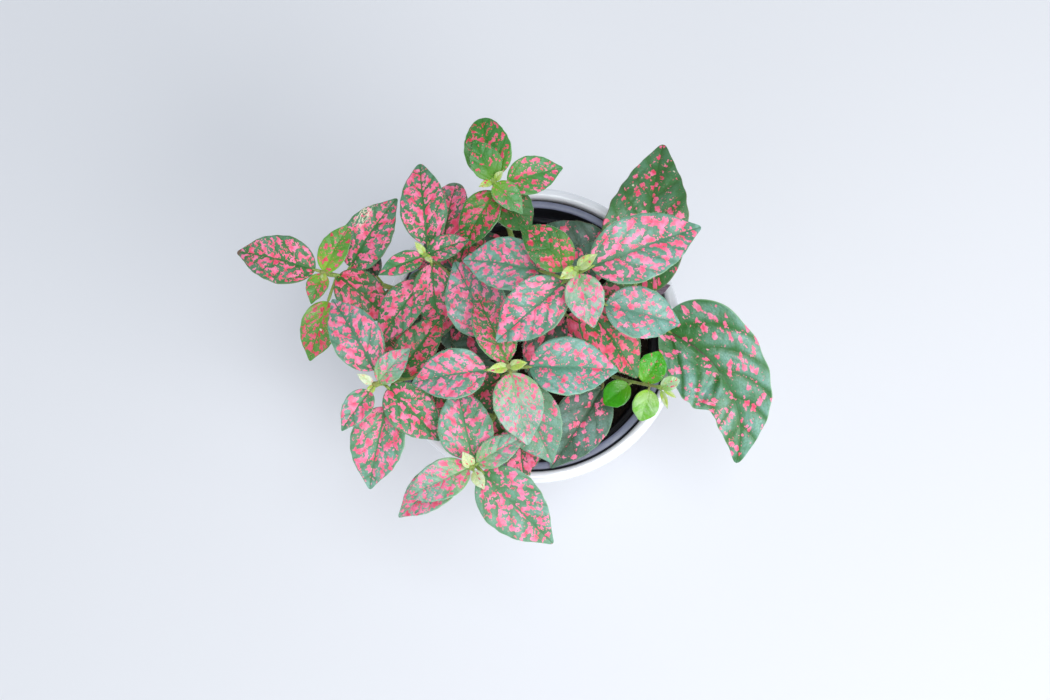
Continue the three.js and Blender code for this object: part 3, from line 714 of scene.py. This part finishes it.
    # the pink: darker and redder on leaves with little sheen (painted shade), paler where the sheen is
    # painted (painted sheen), with random paler patches, and deeper along the veins
    depth = f.noise(flat, 0.3, 2, 0.6)
    rose = f.coats(
        PINK_RED,
        (f.ramp(bloom_and_sheen, 0.1, 0.45), PINK_DEEP),
        (f.ramp(depth, 0.35, 0.65) * f.ramp(bloom_and_sheen, 0.1, 0.45, 0.45, 1), PINK_LIGHT),
        (bloom_and_sheen_mask * bloom_and_sheen * 0.4, PINK_BLOOM_AND_SHEEN),
        (f.most(vein, midrib) * 0.3, PINK_DEEP),
        (f.ramp(grit, 0.5, 0.8, 0, 0.25), PINK_DEEP),
    )
    if underside:
        green = f.mix(0.45, green, (0.5, 0.5, 0.4))
        marked = marked * 0.6

    # wear
    browned, scraped, speck = f.parts(f.attribute("wear"))
    off_scrape = f.vector((share - 0.6) * 4.5, (across - 6) * 0.36, 0)
    thread = abs(f.noise(f.scaled(flat, (0.7, 1.6, 1)), 0.5, 2, 0.6) - 0.5)
    scrape = f.fall(thread, 0.03, 0.075) * f.fall(f.size(off_scrape), 0.5, 1)
    scrape = f.most(scraped * scrape, f.ramp(speck, 0.2, 0.4))
    tip = browned * f.ramp(share, 0.93, 0.96)
    f.set(base_color=f.coats(green, (marked, rose), (scrape, SCRAPED), (tip, BROWN_TIP)))
    f.set(roughness=f.ramp(cloud, 0.3, 0.7, 0.56, 0.46) - gloss * 0.3)
    f.set(specular_ior_level=0.5, coat_weight=0.2, coat_roughness=0.35)
    f.set(subsurface_weight=0.1, subsurface_scale=0.0012, subsurface_radius=(0.6, 1, 0.35))
    crinkle = grit * 0.4 + (vein * -0.5 + lobe * -1)
    f.relief(crinkle * (1 - gloss * 0.6), 0.55, 0.0003)
    return f.material


def stem_finish():
    """Pale green near the tips, browner and redder towards the soil, with fine lengthwise streaks."""
    f = Finish("green_stem")
    place = f.place()
    height = f.parts(place)[2]
    streak = f.noise(f.scaled(place, (1, 1, 0.12)), 1400, 3, 0.6)
    blush = f.noise(place, 90)
    green = f.mix(f.ramp(streak, 0.3, 0.7), (0.5, 0.62, 0.28), (0.64, 0.74, 0.4))
    woody = f.mix(f.ramp(streak, 0.3, 0.7), (0.34, 0.27, 0.17), (0.5, 0.42, 0.26))
    low = f.fall(height + blush * 0.03, 0.115, 0.165)
    red = f.ramp(blush, 0.52, 0.7, 0, 0.4)
    f.set(base_color=f.coats(green, (low, woody), (red, (0.55, 0.3, 0.3))))
    f.set(roughness=0.55, specular_ior_level=0.4)
    f.set(subsurface_weight=0.1, subsurface_scale=0.001)
    f.relief(streak, 0.3, 0.0002)
    return f.material


def hair_finish():
    """Pale hairs, greener in some places than in others."""
    f = Finish("leaf_hair")
    shade = f.ramp(f.noise(f.place(), 500, 1), 0.3, 0.7)
    f.set(base_color=f.mix(shade, (0.68, 0.78, 0.55), (0.88, 0.92, 0.84)))
    f.set(roughness=0.45, specular_ior_level=0.4)
    return f.material


def glaze_finish():
    """White glaze, faintly uneven, on a body that shows unglazed where the foot stands."""
    f = Finish("white_glaze")
    place, radius, z = f.round_place()
    pooled = f.noise(place, 22)
    white = f.mix(f.ramp(pooled, 0.3, 0.7), (0.945, 0.955, 0.98), (0.925, 0.935, 0.96))
    pin = f.ramp(f.cells(place, 260), 0, 0.05, 0.6, 0)
    pin = pin * f.ramp(f.noise(place, 60), 0.6, 0.66)
    bare = f.fall(z, 0.0002, 0.0014) * f.ramp(radius, 0.03, 0.034)
    colour = f.coats(white, (pin, (0.72, 0.69, 0.64)), (bare, (0.86, 0.82, 0.76)))
    f.set(base_color=colour, roughness=f.ramp(bare, 0, 1, 0.14, 0.75))
    f.set(specular_ior_level=0.5, coat_weight=0.5, coat_roughness=0.06)
    f.relief(f.noise(place, 45, 1, 0.4), 0.12, 0.0006)
    return f.material


def plastic_finish():
    """Black moulded plastic, with turning marks, fine scratches, dust of soil inside, and a painted
    highlight on the top of its lip.
    """
    f = Finish("black_plastic")
    place, radius, z = f.round_place()
    top, lip, collar = NURSERY_TOP * MM, NURSERY_LIP_RADIUS * MM, COLLAR_RADIUS * MM
    rings = f.noise(f.vector(radius, z, 0), 2600, 2, 0.6)
    scuff = f.noise(f.scaled(place, (1, 1, 6)), 160, 4, 0.7)
    base = f.mix(f.ramp(scuff, 0.4, 0.8), (0.13, 0.135, 0.165), (0.24, 0.25, 0.29))
    # the flat top of the lip, made pale blue-grey: a painted highlight of the sky's light, varied by the
    # scuffs
    lit_flange = f.ramp(z, top - 0.00055, top - 0.00035) * f.ramp(radius, lip - 0.0005, lip - 0.0009)
    base = f.mix(lit_flange * f.ramp(scuff, 0.3, 0.7, 0.75, 1), base, (0.5, 0.52, 0.62))
    inside = f.fall(radius, collar - 0.0015, collar - 0.0011)
    dust = f.noise(place, 420, 4, 0.65) * inside * f.ramp(z, 0.092, 0.103, 0.9, 0.15)
    colour = f.mix(f.ramp(dust, 0.3, 0.7, 0, 0.8), base, (0.2, 0.16, 0.13))
    f.set(base_color=colour, roughness=f.ramp(scuff, 0.3, 0.8, 0.27, 0.5), specular_ior_level=0.5)
    f.relief(rings + scuff * 0.6, 0.15, 0.0002)
    return f.material


def soil_finish():
    """Dark peat mix, with browner crumbs and a few pale fibres."""
    f = Finish("potting_soil")
    place = f.place()
    grain = f.noise(place, 700, 5, 0.7)
    patch = f.noise(place, 90, 3, 0.6)
    earth = f.mix(f.ramp(grain, 0.3, 0.7), (0.09, 0.075, 0.065), (0.2, 0.155, 0.12))
    fibre = f.noise(f.scaled(place, (0.3, 1, 1)), 1500)
    brown = f.ramp(patch, 0.55, 0.75, 0, 0.5)
    pale = f.ramp(fibre, 0.7, 0.74, 0, 0.6)
    f.set(base_color=f.coats(earth, (brown, (0.29, 0.215, 0.15)), (pale, (0.5, 0.42, 0.3))))
    f.set(roughness=0.95, specular_ior_level=0.25)
    f.relief(grain, 0.8, 0.0008)
    return f.material


# ---- pots and soil
COLLAR_BOTTOM = NURSERY_TOP - COLLAR_DEPTH
COLLAR_RADIUS = NURSERY_LIP_RADIUS - LIP_WIDTH + NURSERY_WALL
UNDER_COLLAR_RADIUS = COLLAR_RADIUS - COLLAR_STEP
NURSERY_FLOOR_TOP = NURSERY_BOTTOM + NURSERY_FLOOR_RISE + NURSERY_WALL


def nursery_wall(height):
    """Outside radius of the nursery pot's wall, under its collar, at a height above the ground."""
    share = (height - NURSERY_BOTTOM) / (COLLAR_BOTTOM - NURSERY_BOTTOM)
    return NURSERY_BASE_RADIUS + share * (UNDER_COLLAR_RADIUS - NURSERY_BASE_RADIUS)


def cachepot(glaze):
    inner = CACHEPOT_RADIUS - CACHEPOT_WALL
    inner_foot = CACHEPOT_FOOT_RADIUS - CACHEPOT_WALL
    top = CACHEPOT_HEIGHT
    outer_bend = 2.4
    inner_bend = 1.6
    foot_bend = 2.1
    corner = 4
    profile = [(0, 0), (CACHEPOT_FOOT_RADIUS - CACHEPOT_FOOT_RIM, 0)]
    profile += arc(CACHEPOT_FOOT_RADIUS - foot_bend, foot_bend, foot_bend, -90, -8)
    profile += [(CACHEPOT_RADIUS - 0.3, top - CACHEPOT_LIP_BAND)]
    profile += arc(CACHEPOT_RADIUS - outer_bend, top - outer_bend, outer_bend, 0, 90, 8)
    profile += arc(inner + inner_bend, top - inner_bend, inner_bend, 90, 180, 6)
    profile += [(inner, NURSERY_TOP - LIP_SKIRT - 1)]
    profile += arc(inner_foot + 0.7 - corner, CACHEPOT_FLOOR + corner, corner, 0, -90)
    profile += [(0, CACHEPOT_FLOOR)]
    return seat(turn_on_wheel("white_cachepot", profile), "cachepot", "white_glaze", glaze)


def nursery_pot(plastic):
    lip, wall, top = NURSERY_LIP_RADIUS, NURSERY_WALL, NURSERY_TOP
    under = NURSERY_BOTTOM + NURSERY_FLOOR_RISE
    profile = [(0, under), (NURSERY_BASE_RADIUS - 8, under), (NURSERY_BASE_RADIUS - 6, NURSERY_BOTTOM)]
    profile += arc(NURSERY_BASE_RADIUS - 1, NURSERY_BOTTOM + 1, 1, -90, 0, 4)
    profile += [(UNDER_COLLAR_RADIUS, COLLAR_BOTTOM), (COLLAR_RADIUS - 0.4, COLLAR_BOTTOM + 0.8)]
    profile += [(COLLAR_RADIUS, top - wall), (lip - wall, top - wall - 0.4)]
    profile += [(lip - wall, top - LIP_SKIRT), (lip, top - LIP_SKIRT)]
    profile += arc(lip - 0.9, top - 0.9, 0.9, 0, 90, 5)
    profile += arc(COLLAR_RADIUS + 0.2, top - 1.3, 1.2, 90, 180, 5)
    profile += [(COLLAR_RADIUS - wall - 0.4, COLLAR_BOTTOM + 1.8)]
    profile += [(UNDER_COLLAR_RADIUS - wall, COLLAR_BOTTOM + 0.6)]
    profile += [(nursery_wall(NURSERY_FLOOR_TOP) - wall, NURSERY_FLOOR_TOP), (0, NURSERY_FLOOR_TOP)]
    pot = turn_on_wheel("black_nursery_pot", profile, 30)
    ring = DRAIN_RING * MM
    for i in range(DRAIN_HOLES):
        angle = 2 * math.pi * i / DRAIN_HOLES
        pick_none()
        bpy.ops.mesh.primitive_cylinder_add(
            vertices=24, radius=DRAIN_RADIUS * MM, depth=NURSERY_FLOOR_TOP * MM,
            location=(ring * math.cos(angle), ring * math.sin(angle), NURSERY_BOTTOM * MM),
        )
        drill = bpy.context.object
        apply_modifier(pot, "BOOLEAN", operation="DIFFERENCE", solver="EXACT", object=drill)
        discard(drill)
    return seat(pot, "nursery_pot", "black_plastic", plastic)


def soil_height(x, y):
    """Height of the soil's lumpy top, in millimetres, at a place in millimetres."""
    waves = math.sin(x * 0.31 + y * 0.12) * math.sin(y * 0.27 - 0.8)
    waves += 0.5 * math.sin(x * 0.83 + 1.9) * math.cos(y * 0.71)
    grains = noise.fractal(Vector((x * 0.35, y * 0.35, 4.0)), 0.8, 2.1, 5)
    return SOIL_TOP + SOIL_LUMP * waves + SOIL_GRAIN * grains


def crumb_patterns(draw):
    """Four small rough lumps, which the loose crumbs are copies of."""
    patterns = []
    for i in range(4):
        pick_none()
        bpy.ops.mesh.primitive_ico_sphere_add(subdivisions=1 if i < 3 else 2, radius=1, location=(0, 0, 0))
        lump = bpy.context.object
        places = places_of(lump)
        set_places(lump, places * np.array([[draw.uniform(0.6, 1.15)] * 3 for _ in places]))
        patterns.append(lump)
    return patterns


def soil(earth):
    inset = NURSERY_WALL + CLEARANCE
    bottom = NURSERY_FLOOR_TOP + CLEARANCE
    edge = nursery_wall(SOIL_TOP) - inset
    profile = [(0, bottom), (nursery_wall(bottom) - inset, bottom), (edge, SOIL_TOP)]
    profile += [(edge * share, SOIL_TOP) for share in np.linspace(0.985, 0.02, 60)]
    profile += [(0, SOIL_TOP)]
    plug = turn_on_wheel("soil_plug", profile, 60)
    places = places_of(plug) / MM
    for place in places:
        if place[2] > SOIL_TOP - 0.5 and math.hypot(place[0], place[1]) < edge - 0.4:
            place[2] = soil_height(place[0], place[1])
    set_places(plug, places * MM)

    draw = random.Random(CRUMB_SEED)
    patterns = crumb_patterns(draw)
    smallest, largest = CRUMB_SIZE
    crumbs = []
    for i in range(CRUMBS):
        reach = (edge - 2) * math.sqrt(draw.random())
        angle = draw.uniform(0, 2 * math.pi)
        x, y = reach * math.cos(angle), reach * math.sin(angle)
        size = smallest + (largest - smallest) * draw.random() ** 3
        spin = Euler([draw.uniform(0, 6.3) for _ in range(3)]).to_matrix().to_4x4()
        stretch = Matrix.Diagonal((draw.uniform(0.8, 1.7), 1, draw.uniform(0.6, 1), 1))
        crumb = copy_of(patterns[i % len(patterns)], "crumb")
        lift = Matrix.Translation(Vector((x, y, soil_height(x, y) + 0.25 * size)) * MM)
        crumb.data.transform(lift @ spin @ stretch @ Matrix.Scale(size * MM, 4))
        crumbs.append(crumb)
    for pattern in patterns:
        discard(pattern)
    return seat(joined([plug] + crumbs, "potting_soil"), "soil", "potting_soil", earth)


# ---- leaves
def outline(share, form):
    """Half width of a blade, 1 at its widest, at shares of its length."""
    base, tip = (0.5, 0.6) if form.style.rounded else (0.4, 0.9) if form.is_old else (0.55, 0.9)
    widest = base / (base + tip)
    drawn = np.clip((share - 0.7) / 0.3, 0, 1)
    slimmer = (DRAWN_TIP / 2 if form.is_old else DRAWN_TIP) * (1 - form.blunt)
    drawn = 1 - slimmer * drawn * drawn * (3 - 2 * drawn)
    left = np.maximum(1 - share, 1e-9)
    blunt = (1 + ((BLUNT_TIP + ROUND_TIP * form.blunt) / left) ** 2) ** (tip / 2 - 0.25)
    return drawn * blunt * share**base * left**tip / (widest**base * (1 - widest) ** tip)


def blank_blade(rows, columns):
    """A flat grid, 1 long and from -1 to 1 across, which blades are shaped from."""
    pick_none()
    bpy.ops.mesh.primitive_grid_add(x_subdivisions=rows, y_subdivisions=columns, size=2)
    blank = bpy.context.object
    places = places_of(blank)
    along = (places[:, 0] + 1) / 2
    eased = (1 - np.cos(np.pi * along)) / 2
    places[:, 0] = 0.7 * eased + 0.3 * along
    set_places(blank, places)
    return blank


def vein_count(share, out, form):
    """How many side veins have left the midrib before the one that runs through each place."""
    slope = 1 / math.tan(math.radians(VEIN_ANGLE))
    veins = OLD_VEINS if form.is_old else VEINS if form.length >= SMALL_LEAF_LENGTH else SMALL_VEINS
    start = share - slope * out / form.length * (1 + VEIN_CURVE * out / form.width)
    return start * veins, form.length / veins


def half_widths(share, form):
    """Half widths of a blade in millimetres, with the faint waves that its side veins put in its edge."""
    half = form.width / 2 * outline(np.clip(share, 0, 1), form)
    count, _ = vein_count(share, half, form)
    ripple = 1.6 * EDGE_RIPPLE if form.is_old else EDGE_RIPPLE
    half *= 1 + ripple * (np.cos(2 * np.pi * count) - 1)
    return np.where((share > 0) & (share < 1), half, 0)


def lopsided(share, column):
    """How the halves of a creased blade differ: the right one notched past its fold, the left one fuller."""
    past = share - OLD_CREASE - 0.26
    notch = CREASE_NOTCH * np.exp(-((past / np.where(past < 0, 0.045, 0.16)) ** 2))
    slim = 0.13 * np.exp(-((share / 0.25) ** 2))
    shoulder = 0.09 * np.exp(-(((share - 0.16) / 0.14) ** 2))
    return np.where(column < 0, 1 - notch - slim, 1 + shoulder)


def blade_surface(share, column, form, whims):
    """Places on a blade in its own frame, in millimetres: x along its chord, y across and z up."""
    column = np.broadcast_to(column, share.shape)
    length, bow = form.length, form.bow
    half = half_widths(share, form)
    if form.crease:
        half = half * lopsided(share, column)
    out = np.abs(column) * half
    bulge = 4 * share * (1 - share)
    lean = np.arctan(4 * bow * (1 - 2 * share))
    lobe = OLD_LEAF_LOBE * length * column**2 * (1 - share) ** 4 if form.is_old else 0
    x = length * share - lobe - column * half * np.sin(lean)
    y = column * half * np.cos(lean) + bow * length * bulge

    steep = np.abs(column) * (1.32 - 0.32 * column**2)
    z = LEAF_ARCH * length * bulge + steep * half * math.tan(math.radians(LEAF_FOLD))
    count, _ = vein_count(share, out, form)
    pillow = np.abs(np.sin(np.pi * count)) ** 0.6
    room = np.clip(np.abs(column) * 3, 0, 1) * (1 - np.abs(column) ** 4) * np.clip((1 - share) * 5, 0, 1)
    swollen = np.abs(np.sin(0.2 * np.pi * out + 1.7 * np.floor(count))) ** 0.6
    swollen = 0.6 + 0.4 * swollen + 0.25 * np.sin(0.23 * x + 0.9) * np.sin(0.31 * y)
    uneven = swollen if form.is_old else 1
    z += (0.1 + form.style.quilt * length * uneven) * (pillow - 0.6) * room
    z -= (0.1 + 0.007 * length) * np.exp(-((out / (0.3 + 0.007 * length)) ** 2)) * (1 - share)
    phase, wave, twist, droop = whims
    crinkle = OLD_CRINKLE if form.is_old else CRINKLE
    z += crinkle * np.sin(x * 1.1 + 9 * phase + np.sin(y * 0.9)) * np.sin(y * 1.3 + 7 * phase) * room
    from_fold = share - OLD_CREASE - (CREASE_SLOPE * out + 0.8 * np.sin(0.5 * out)) / length
    fold = np.exp(-((from_fold / 0.04) ** 2))
    z -= form.crease * fold * np.clip(-column * 3, 0, 1) * np.clip((1 + column) * 4, 0.35, 1)
    z += wave * half * np.abs(column) ** 3 * np.sin(2 * np.pi * (2.3 * share + phase + 0.2 * column))
    z += twist * (share - 0.4) * column * half
    z -= droop * length * np.clip(share - 0.75, 0, 1) ** 2
    return np.stack([x, y, z], axis=1)


def write_vectors(mesh, name, columns):
    values = np.empty((len(mesh.vertices), 3), np.float32)
    for axis, column in enumerate(columns):
        values[:, axis] = column
    mesh.attributes.new(name, "FLOAT_VECTOR", "POINT").data.foreach_set("vector", values.ravel())


def blade_on(blanks, base, form, seed):
    """One blade, shaped from a blank, with what its finish reads written on it."""
    draw = random.Random(seed)
    wavy = OLD_EDGE_WAVE if form.is_old else EDGE_WAVE
    whims = (draw.random(), draw.uniform(0.4, 1) * wavy, draw.uniform(-0.16, 0.16), draw.uniform(0, 0.5))
    blank = next(blank for limit, blank in blanks if form.length < limit)
    blade = copy_of(blank, "blade")
    flat = places_of(blade)
    share, column = flat[:, 0], flat[:, 1]
    turn = np.array(
        Matrix.Rotation(math.radians(form.azimuth), 3, "Z")
        @ Matrix.Rotation(-math.radians(form.pitch), 3, "Y")
        @ Matrix.Rotation(math.radians(form.roll), 3, "X")
    ).T
    set_places(blade, (blade_surface(share, column, form, whims) @ turn + base) * MM)

    length, style = form.length, form.style
    across = column * half_widths(share, form)
    count, spacing = vein_count(share, np.abs(across), form)
    jitter = draw.uniform(0.92, 1.08)
    speck = np.zeros(len(share))
    for at, aside in form.specks:
        away = np.hypot((share - at) * length, across - aside)
        speck = np.maximum(speck, 1 - away / SPECK_RADIUS)
    for name, columns in (
        ("place", (length * share, across, 5.3 * seed)),
        ("veins", (count, spacing, share)),
        ("marks", (form.pink, style.lime, style.milk)),
        ("shape", (np.abs(column), style.grain, length)),
        ("relief", (style.lines, style.gloss, style.spots)),
        ("wear", (*form.wear, speck)),
    ):
        write_vectors(blade.data, name, columns)
    green = [c * jitter for c in linear(style.green)[:3]]
    tone = np.tile(np.array([*green, style.bloom_and_sheen]), (len(share), 1))
    blade.data.attributes.new("tone", "FLOAT_COLOR", "POINT").data.foreach_set("color", tone.ravel())
    return blade, turn, whims


# ---- stems and stalks
def curve_through(points, samples=24):
    """A smooth curve through the points, passing each of them, with even care at short and long gaps."""
    points = [np.array(p, float) for p in points]
    points = [2 * points[0] - points[1]] + points + [2 * points[-1] - points[-2]]
    line = []
    for p0, p1, p2, p3 in zip(points, points[1:], points[2:], points[3:]):
        d0, d1, d2 = (math.sqrt(np.linalg.norm(b - a)) or 1.0 for a, b in ((p0, p1), (p1, p2), (p2, p3)))
        m1 = ((p1 - p0) / d0 - (p2 - p0) / (d0 + d1) + (p2 - p1) / d1) * d1
        m2 = ((p2 - p1) / d1 - (p3 - p1) / (d1 + d2) + (p3 - p2) / d2) * d1
        for t in np.arange(samples) / samples:
            a = 2 * t**3 - 3 * t**2 + 1
            b = t**3 - 2 * t**2 + t
            c = -2 * t**3 + 3 * t**2
            d = t**3 - t**2
            line.append(a * p1 + b * m1 + c * p2 + d * m2)
    line.append(points[-2])
    return np.array(line)


def distances(line):
    steps = np.linalg.norm(np.diff(line, axis=0), axis=1)
    return np.concatenate([[0], np.cumsum(steps)])


def point_at(line, distance):
    run = distances(line)
    return np.array([np.interp(distance, run, line[:, axis]) for axis in range(3)])


def heading(azimuth, pitch):
    azimuth, pitch = math.radians(azimuth), math.radians(pitch)
    level = math.cos(pitch)
    return np.array([level * math.cos(azimuth), level * math.sin(azimuth), math.sin(pitch)])


def add_strand(curve, line, radii):
    """One round strand in a curve object, along a line and with a radius at each of its points."""
    spline = curve.splines.new("POLY")
    spline.points.add(len(line) - 1)
    for point, place, radius in zip(spline.points, line, radii):
        point.co = (*(place * MM), 1)
        point.radius = radius


def stem_line(foot, *above):
    """From its buried foot straight up out of the soil, and on through its bends to its tip."""
    bottom = SOIL_TOP - STEM_SINK + CLEARANCE
    up_to = SOIL_TOP + 5
    return curve_through([*((*foot, z) for z in (bottom, (bottom + up_to) / 2, up_to)), *above])


# ---- hairs
def hair_pattern():
    """A three-sided spike that stands on the origin, 1 wide either way and 1 high."""
    pick_none()
    bpy.ops.mesh.primitive_cone_add(vertices=3, radius1=1, radius2=0, depth=1, end_fill_type="NGON")
    pattern = bpy.context.object
    pattern.data.transform(Matrix.Translation((0, 0, 0.5)))
    return pattern


def hair(pattern, root, direction, length):
    """One hair, from its root in millimetres."""
    spike = copy_of(pattern, "hair")
    turn = Vector(direction).to_track_quat("Z", "Y").to_matrix().to_4x4()
    size = Matrix.Diagonal((HAIR_RADIUS * MM, HAIR_RADIUS * MM, length * MM, 1))
    spike.data.transform(Matrix.Translation(Vector(root) * MM) @ turn @ size)
    return spike


def strand_hairs(pattern, line, radii, start, end, draw):
    """Hairs all round a strand, from one distance along it to another, that lean towards its tip."""
    run = distances(line)
    hairs = []
    for _ in range(int(STEM_HAIRS * (end - start))):
        at = draw.uniform(start, end)
        root = point_at(line, at)
        along = Vector(point_at(line, at + 0.5) - root).normalized()
        around = along.orthogonal().normalized()
        around.rotate(Quaternion(along, draw.uniform(0, 2 * math.pi)))
        root = Vector(root) + around * 0.9 * float(np.interp(at, run, radii))
        lean = Vector([draw.uniform(-0.3, 0.3) for _ in range(3)])
        hairs.append(hair(pattern, root, around + 0.3 * along + lean, HAIR_LENGTH * draw.uniform(0.5, 1.1)))
    return hairs


def edge_hairs(pattern, base, form, turn, whims, draw):
    """Hairs down both edges of a blade, that lean towards its tip."""
    count = int(EDGE_HAIRS * form.length)
    hairs = []
    for side in (-1, 1):
        share = np.array([draw.uniform(0.03, 0.97) for _ in range(count)])
        rim = blade_surface(share, 0.995 * side, form, whims)
        outward = rim - blade_surface(share, 0.85 * side, form, whims)
        outward /= np.linalg.norm(outward, axis=1)[:, None] + 1e-6
        outward += [(draw.uniform(0.2, 0.8), 0, draw.uniform(-0.5, 0.3)) for _ in range(count)]
        for root, direction in zip(rim @ turn + base, outward @ turn):
            hairs.append(hair(pattern, root, direction, HAIR_LENGTH * draw.uniform(0.35, 0.8)))
    return hairs


# ---- whole shoots
def stalk_line(joint, base, form, turn, whims):
    """From the joint on the stem to the blade's base, and on under its midrib."""
    along = np.array([0.04, 0.12, 0.25, 0.4, 0.55, 0.7, 0.82])
    rib = blade_surface(along, 0, form, whims)
    rib[:, 2] -= 0.12 + 0.004 * form.length
    middle = (joint + base) / 2 + [0, 0, 0.03 * form.stalk]
    line = curve_through([joint, middle, base, *(rib @ turn + base)], 5)
    run = distances(line)
    thick = STALK_RADIUS * (0.55 + 0.012 * form.length)
    return line, np.where(run > form.stalk, thick * (0.8 - 0.72 * run / run[-1]), thick)


def shoot_pieces(name, blanks, finishes, first_seed):
    line = stem_line(*STEMS[name])
    run = distances(line)
    height = run[-1]
    taper = STEM_RADIUS + (STEM_TIP_RADIUS - STEM_RADIUS) * (run / height) ** 1.3
    radii = taper * STEM_SLIM.get(name, 1)
    curve = bpy.data.curves.new(name + "_stem", "CURVE")
    curve.dimensions = "3D"
    curve.bevel_depth = MM
    curve.bevel_resolution = STEM_FACES
    curve.use_fill_caps = True
    blades = []
    hairs = []
    pattern = hair_pattern()
    draw = random.Random(first_seed)
    for index, form in enumerate(LEAVES[name]):
        joint_run = height - form.below - TIP_MARGIN
        radii += NODE_SWELL * 0.5 * np.exp(-(((run - joint_run) / 1.3) ** 2))
        joint = point_at(line, joint_run)
        base = joint + form.stalk * heading(form.azimuth + form.turn, form.lift)
        blade, turn, whims = blade_on(blanks, base, form, first_seed + index)
        blades.append(blade)
        stalk, slim = stalk_line(joint, base, form, turn, whims)
        add_strand(curve, stalk, slim)
        hairs += strand_hairs(pattern, stalk, slim, 0.6, form.stalk, draw)
        if not form.style.rounded:
            hairs += edge_hairs(pattern, base, form, turn, whims, draw)
    add_strand(curve, line, radii)
    hairs += strand_hairs(pattern, line, radii, STEM_SINK + 4, height - 1, draw)
    discard(pattern)
    seat(joined(hairs, name + "_hairs"), name, "foliage", finishes["hair"])

    pick([new_object(name + "_stem", curve)])
    bpy.ops.object.convert(target="MESH")
    bpy.ops.object.shade_smooth()
    seat(bpy.context.object, name, "foliage", finishes["stem"])

    leaves = joined(blades, name + "_leaves")
    bpy.ops.object.mode_set(mode="EDIT")
    bpy.ops.mesh.select_all(action="SELECT")
    bpy.ops.mesh.remove_doubles(threshold=0.004 * MM)
    bpy.ops.object.mode_set(mode="OBJECT")
    apply_modifier(leaves, "SOLIDIFY", thickness=LEAF_THICKNESS * MM, offset=0, material_offset=1)
    bpy.ops.object.shade_smooth()
    seat(leaves, name, "foliage", finishes["upper"], finishes["lower"])


# ---- the studio
def studio():
    pick_none()
    bpy.ops.mesh.primitive_plane_add(size=FLOOR_SIZE * MM, location=(0, 0, -FLOOR_DROP * MM))
    ground = bpy.context.object
    ground.name = "floor"
    f = Finish("pale_floor")
    f.set(base_color=linear((0.89, 0.895, 0.915)), roughness=0.6, specular_ior_level=0.2)
    ground.data.materials.append(f.material)

    world = bpy.data.worlds.new("soft_daylight")
    bpy.context.scene.world = world
    world.use_nodes = True
    sky = world.node_tree.nodes["Background"]
    sky.inputs["Color"].default_value = (0.9, 0.95, 1.0, 1)
    sky.inputs["Strength"].default_value = SKY_STRENGTH
    bpy.context.scene.view_settings.view_transform = "Standard"

    for name, place, size, power, colour in LAMPS:
        lamp = bpy.data.lights.new(name, "AREA")
        lamp.size = size * MM
        lamp.energy = power
        lamp.color = colour
        holder = new_object(name, lamp)
        holder.location = Vector(place) * MM
        aim = Vector(LAMP_TARGET) - Vector(place)
        holder.rotation_euler = aim.to_track_quat("-Z", "Y").to_euler()

    lens = bpy.data.cameras.new("camera")
    lens.lens = CAMERA_LENS
    lens.sensor_width = CAMERA_SENSOR
    camera = new_object("camera", lens)
    camera.location = Vector(CAMERA_PLACE) * MM
    camera.rotation_euler = (math.radians(CAMERA_TILT), 0, 0)
    bpy.context.scene.camera = camera


# ---- making it
studio()
cachepot(glaze_finish())
nursery_pot(plastic_finish())
soil(soil_finish())
foliage = {
    "upper": leaf_finish("leaf_upper_face"),
    "lower": leaf_finish("leaf_underside", underside=True),
    "stem": stem_finish(),
    "hair": hair_finish(),
}
blanks = [(limit, blank_blade(rows, columns)) for limit, rows, columns in BLANKS]
for number, name in enumerate(STEMS):
    shoot_pieces(name, blanks, foliage, LEAF_SEEDS * number + 1)
for _, blank in blanks:
    discard(blank)
